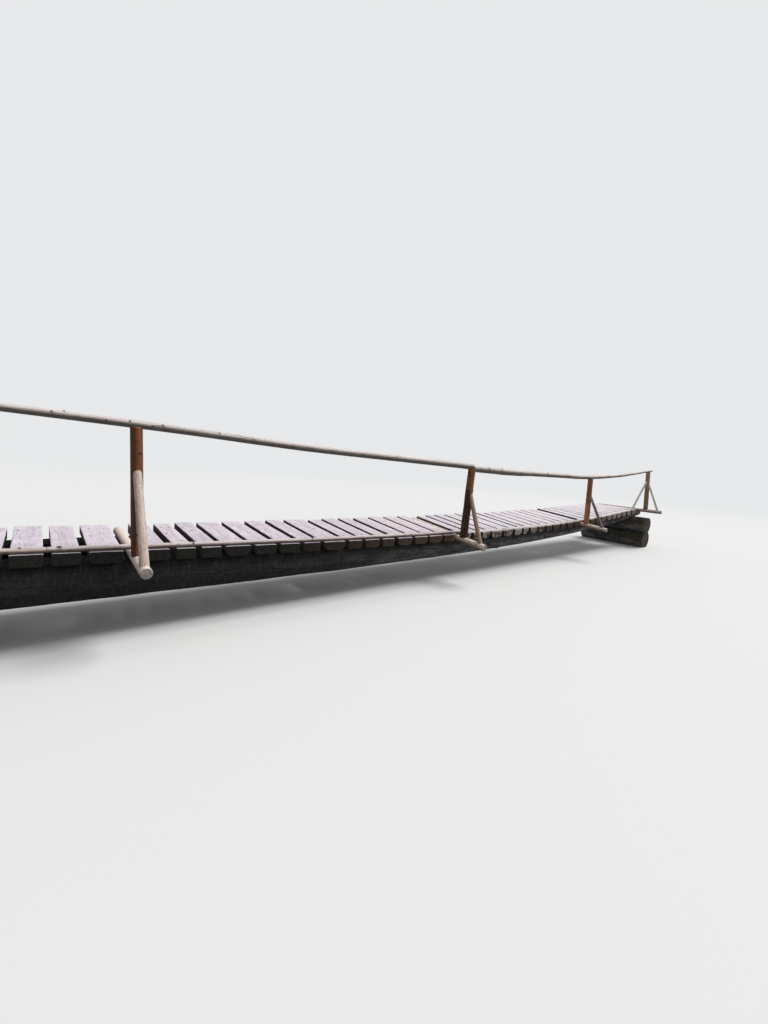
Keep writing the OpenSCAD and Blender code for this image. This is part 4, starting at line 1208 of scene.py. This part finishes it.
tan_kerb = pole_finish(
    "tan_kerb", body=(214, 190, 172), second=(156, 138, 120), sky=(238, 222, 214),
    ground=(48, 40, 30), end=(196, 176, 152), checks=0.4)
pink_kerb = pole_finish(
    "pink_kerb", body=(180, 158, 150), second=(132, 112, 100), sky=(242, 228, 227),
    ground=(46, 38, 29), end=(196, 176, 152), checks=0.45)
strip_wood = pole_finish(
    "pale_strip", body=(170, 160, 154), second=(126, 116, 106), sky=(240, 231, 231),
    ground=(60, 52, 44), end=(170, 156, 138), checks=0.5)
build_kerb_pole("kerb_pole_1", KERB_START, KERB_JOINT, tan_kerb,
                [(1.2, 120, 0.014, 0.004), (2.0, 150, 0.014, 0.004), (2.4, 100, 0.016, 0.005)])
build_kerb_pole("kerb_pole_2", KERB_JOINT, KERB_END, pink_kerb,
                [(0.08, 110, 0.02, 0.006), (1.1, 140, 0.012, 0.003), (2.38, 120, 0.014, 0.004),
                 (2.29, 80, 0.013, 0.004), (3.9, 150, 0.012, 0.003)])
build_kerb_strip("kerb_strip_1", KERB_END, STRIP_JOINT, strip_wood)
build_kerb_strip("kerb_strip_2", STRIP_JOINT, STRIP_END, strip_wood)

# ---------------------------------------------------------------------- studio

CAMERA_PLACE = (3.021, -4.7579, 1.7286)
CAMERA_TURN = (-39.0737, 82.8094, 3.9790)
BACKDROP = (0.80, 0.81, 0.82, 1)


def build_camera():
    """The photograph's view: turned about Z, tipped down about X, rolled about its own Z."""
    lens = bpy.data.cameras.new("view")
    lens.lens = 430 / 1024 * 36
    lens.sensor_width = 36
    camera = bpy.data.objects.new("view", lens)
    bpy.context.scene.collection.objects.link(camera)
    turn = Matrix.Identity(4)
    for angle, axis in zip(CAMERA_TURN, "ZXZ"):
        turn = turn @ Matrix.Rotation(np.radians(angle), 4, axis)
    camera.matrix_world = Matrix.Translation(CAMERA_PLACE) @ turn
    bpy.context.scene.camera = camera


def build_floor():
    """A wide round floor whose colour fades into the backdrop's away from the bridge."""
    reach = np.array([0.0, 6, 12, 18, 26, 40, 80, 200])[1:, None]
    a = np.linspace(0, 2 * np.pi, 65)[None, :-1]
    ring = np.stack([7.25 + reach * np.cos(a), reach * np.sin(a), 0 * reach * a - 0.0005], -1)
    points = np.concatenate([ring.reshape(-1, 3), [[7.25, 0, -0.0005]]])
    quads = ring_faces(len(reach), 64)[:, ::-1]
    fan = np.stack([np.full(64, len(points) - 1), np.arange(64), (np.arange(64) + 1) % 64], 1)
    mesh = bpy.data.meshes.new("floor")
    mesh.from_pydata(points.tolist(), [], quads.tolist() + fan.tolist())
    mesh.update()
    floor = bpy.data.objects.new("floor", mesh)
    bpy.context.scene.collection.objects.link(floor)
    paint = bpy.data.materials.new("pale_floor")
    paint.use_nodes = True
    paint.node_tree.nodes.clear()
    t = Tree(paint.node_tree)
    place = t.add("TexCoord").outputs["Object"]
    off = t.add("VectorMath", {0: place, 1: (7.25, 0, 0)}, operation="DISTANCE").outputs["Value"]
    sight = t.add("LightPath").outputs["Is Camera Ray"]
    shade = t.mix(sight, (0.3, 0.3, 0.3, 1), (0.74, 0.745, 0.75, 1))
    plain = t.add("BsdfPrincipled", {"Base Color": shade, "Roughness": 0.9})
    glow = t.add("Emission", {"Color": BACKDROP})
    share = t.maths("MULTIPLY", t.step(off, 11.0, 34.0), sight)
    both = t.add("MixShader", {0: share, 1: plain.outputs[0], 2: glow.outputs[0]})
    t.add("OutputMaterial", {"Surface": both.outputs[0]})
    mesh.materials.append(paint)


def build_light():
    """An even pale sky with one broad soft lamp high over the far bank."""
    world = bpy.data.worlds.new("studio")
    bpy.context.scene.world = world
    world.use_nodes = True
    world.node_tree.nodes.clear()
    t = Tree(world.node_tree)
    path = t.add("LightPath").outputs
    seen = t.maths("MAXIMUM", path["Is Camera Ray"], path["Is Glossy Ray"])
    seen = t.maths("MAXIMUM", seen, path["Is Transmission Ray"])
    light = t.add("Background", {"Color": (0.98, 0.99, 1.0, 1), "Strength": 0.42})
    shown = t.add("Background", {"Color": BACKDROP, "Strength": 1.0})
    both = t.add("MixShader", {0: seen, 1: light.outputs[0], 2: shown.outputs[0]})
    t.add("OutputWorld", {"Surface": both.outputs[0]})
    lamp = bpy.data.lights.new("soft_lamp", "SUN")
    lamp.energy = 2.75
    lamp.angle = np.radians(28)
    lamp.color = (1.0, 0.985, 0.96)
    sun = bpy.data.objects.new("soft_lamp", lamp)
    bpy.context.scene.collection.objects.link(sun)
    sun.matrix_world = Vector((0.75, -0.12, 1.0)).to_track_quat("Z", "Y").to_matrix().to_4x4()


build_camera()
build_floor()
build_light()
bpy.context.scene.view_settings.view_transform = "Standard"
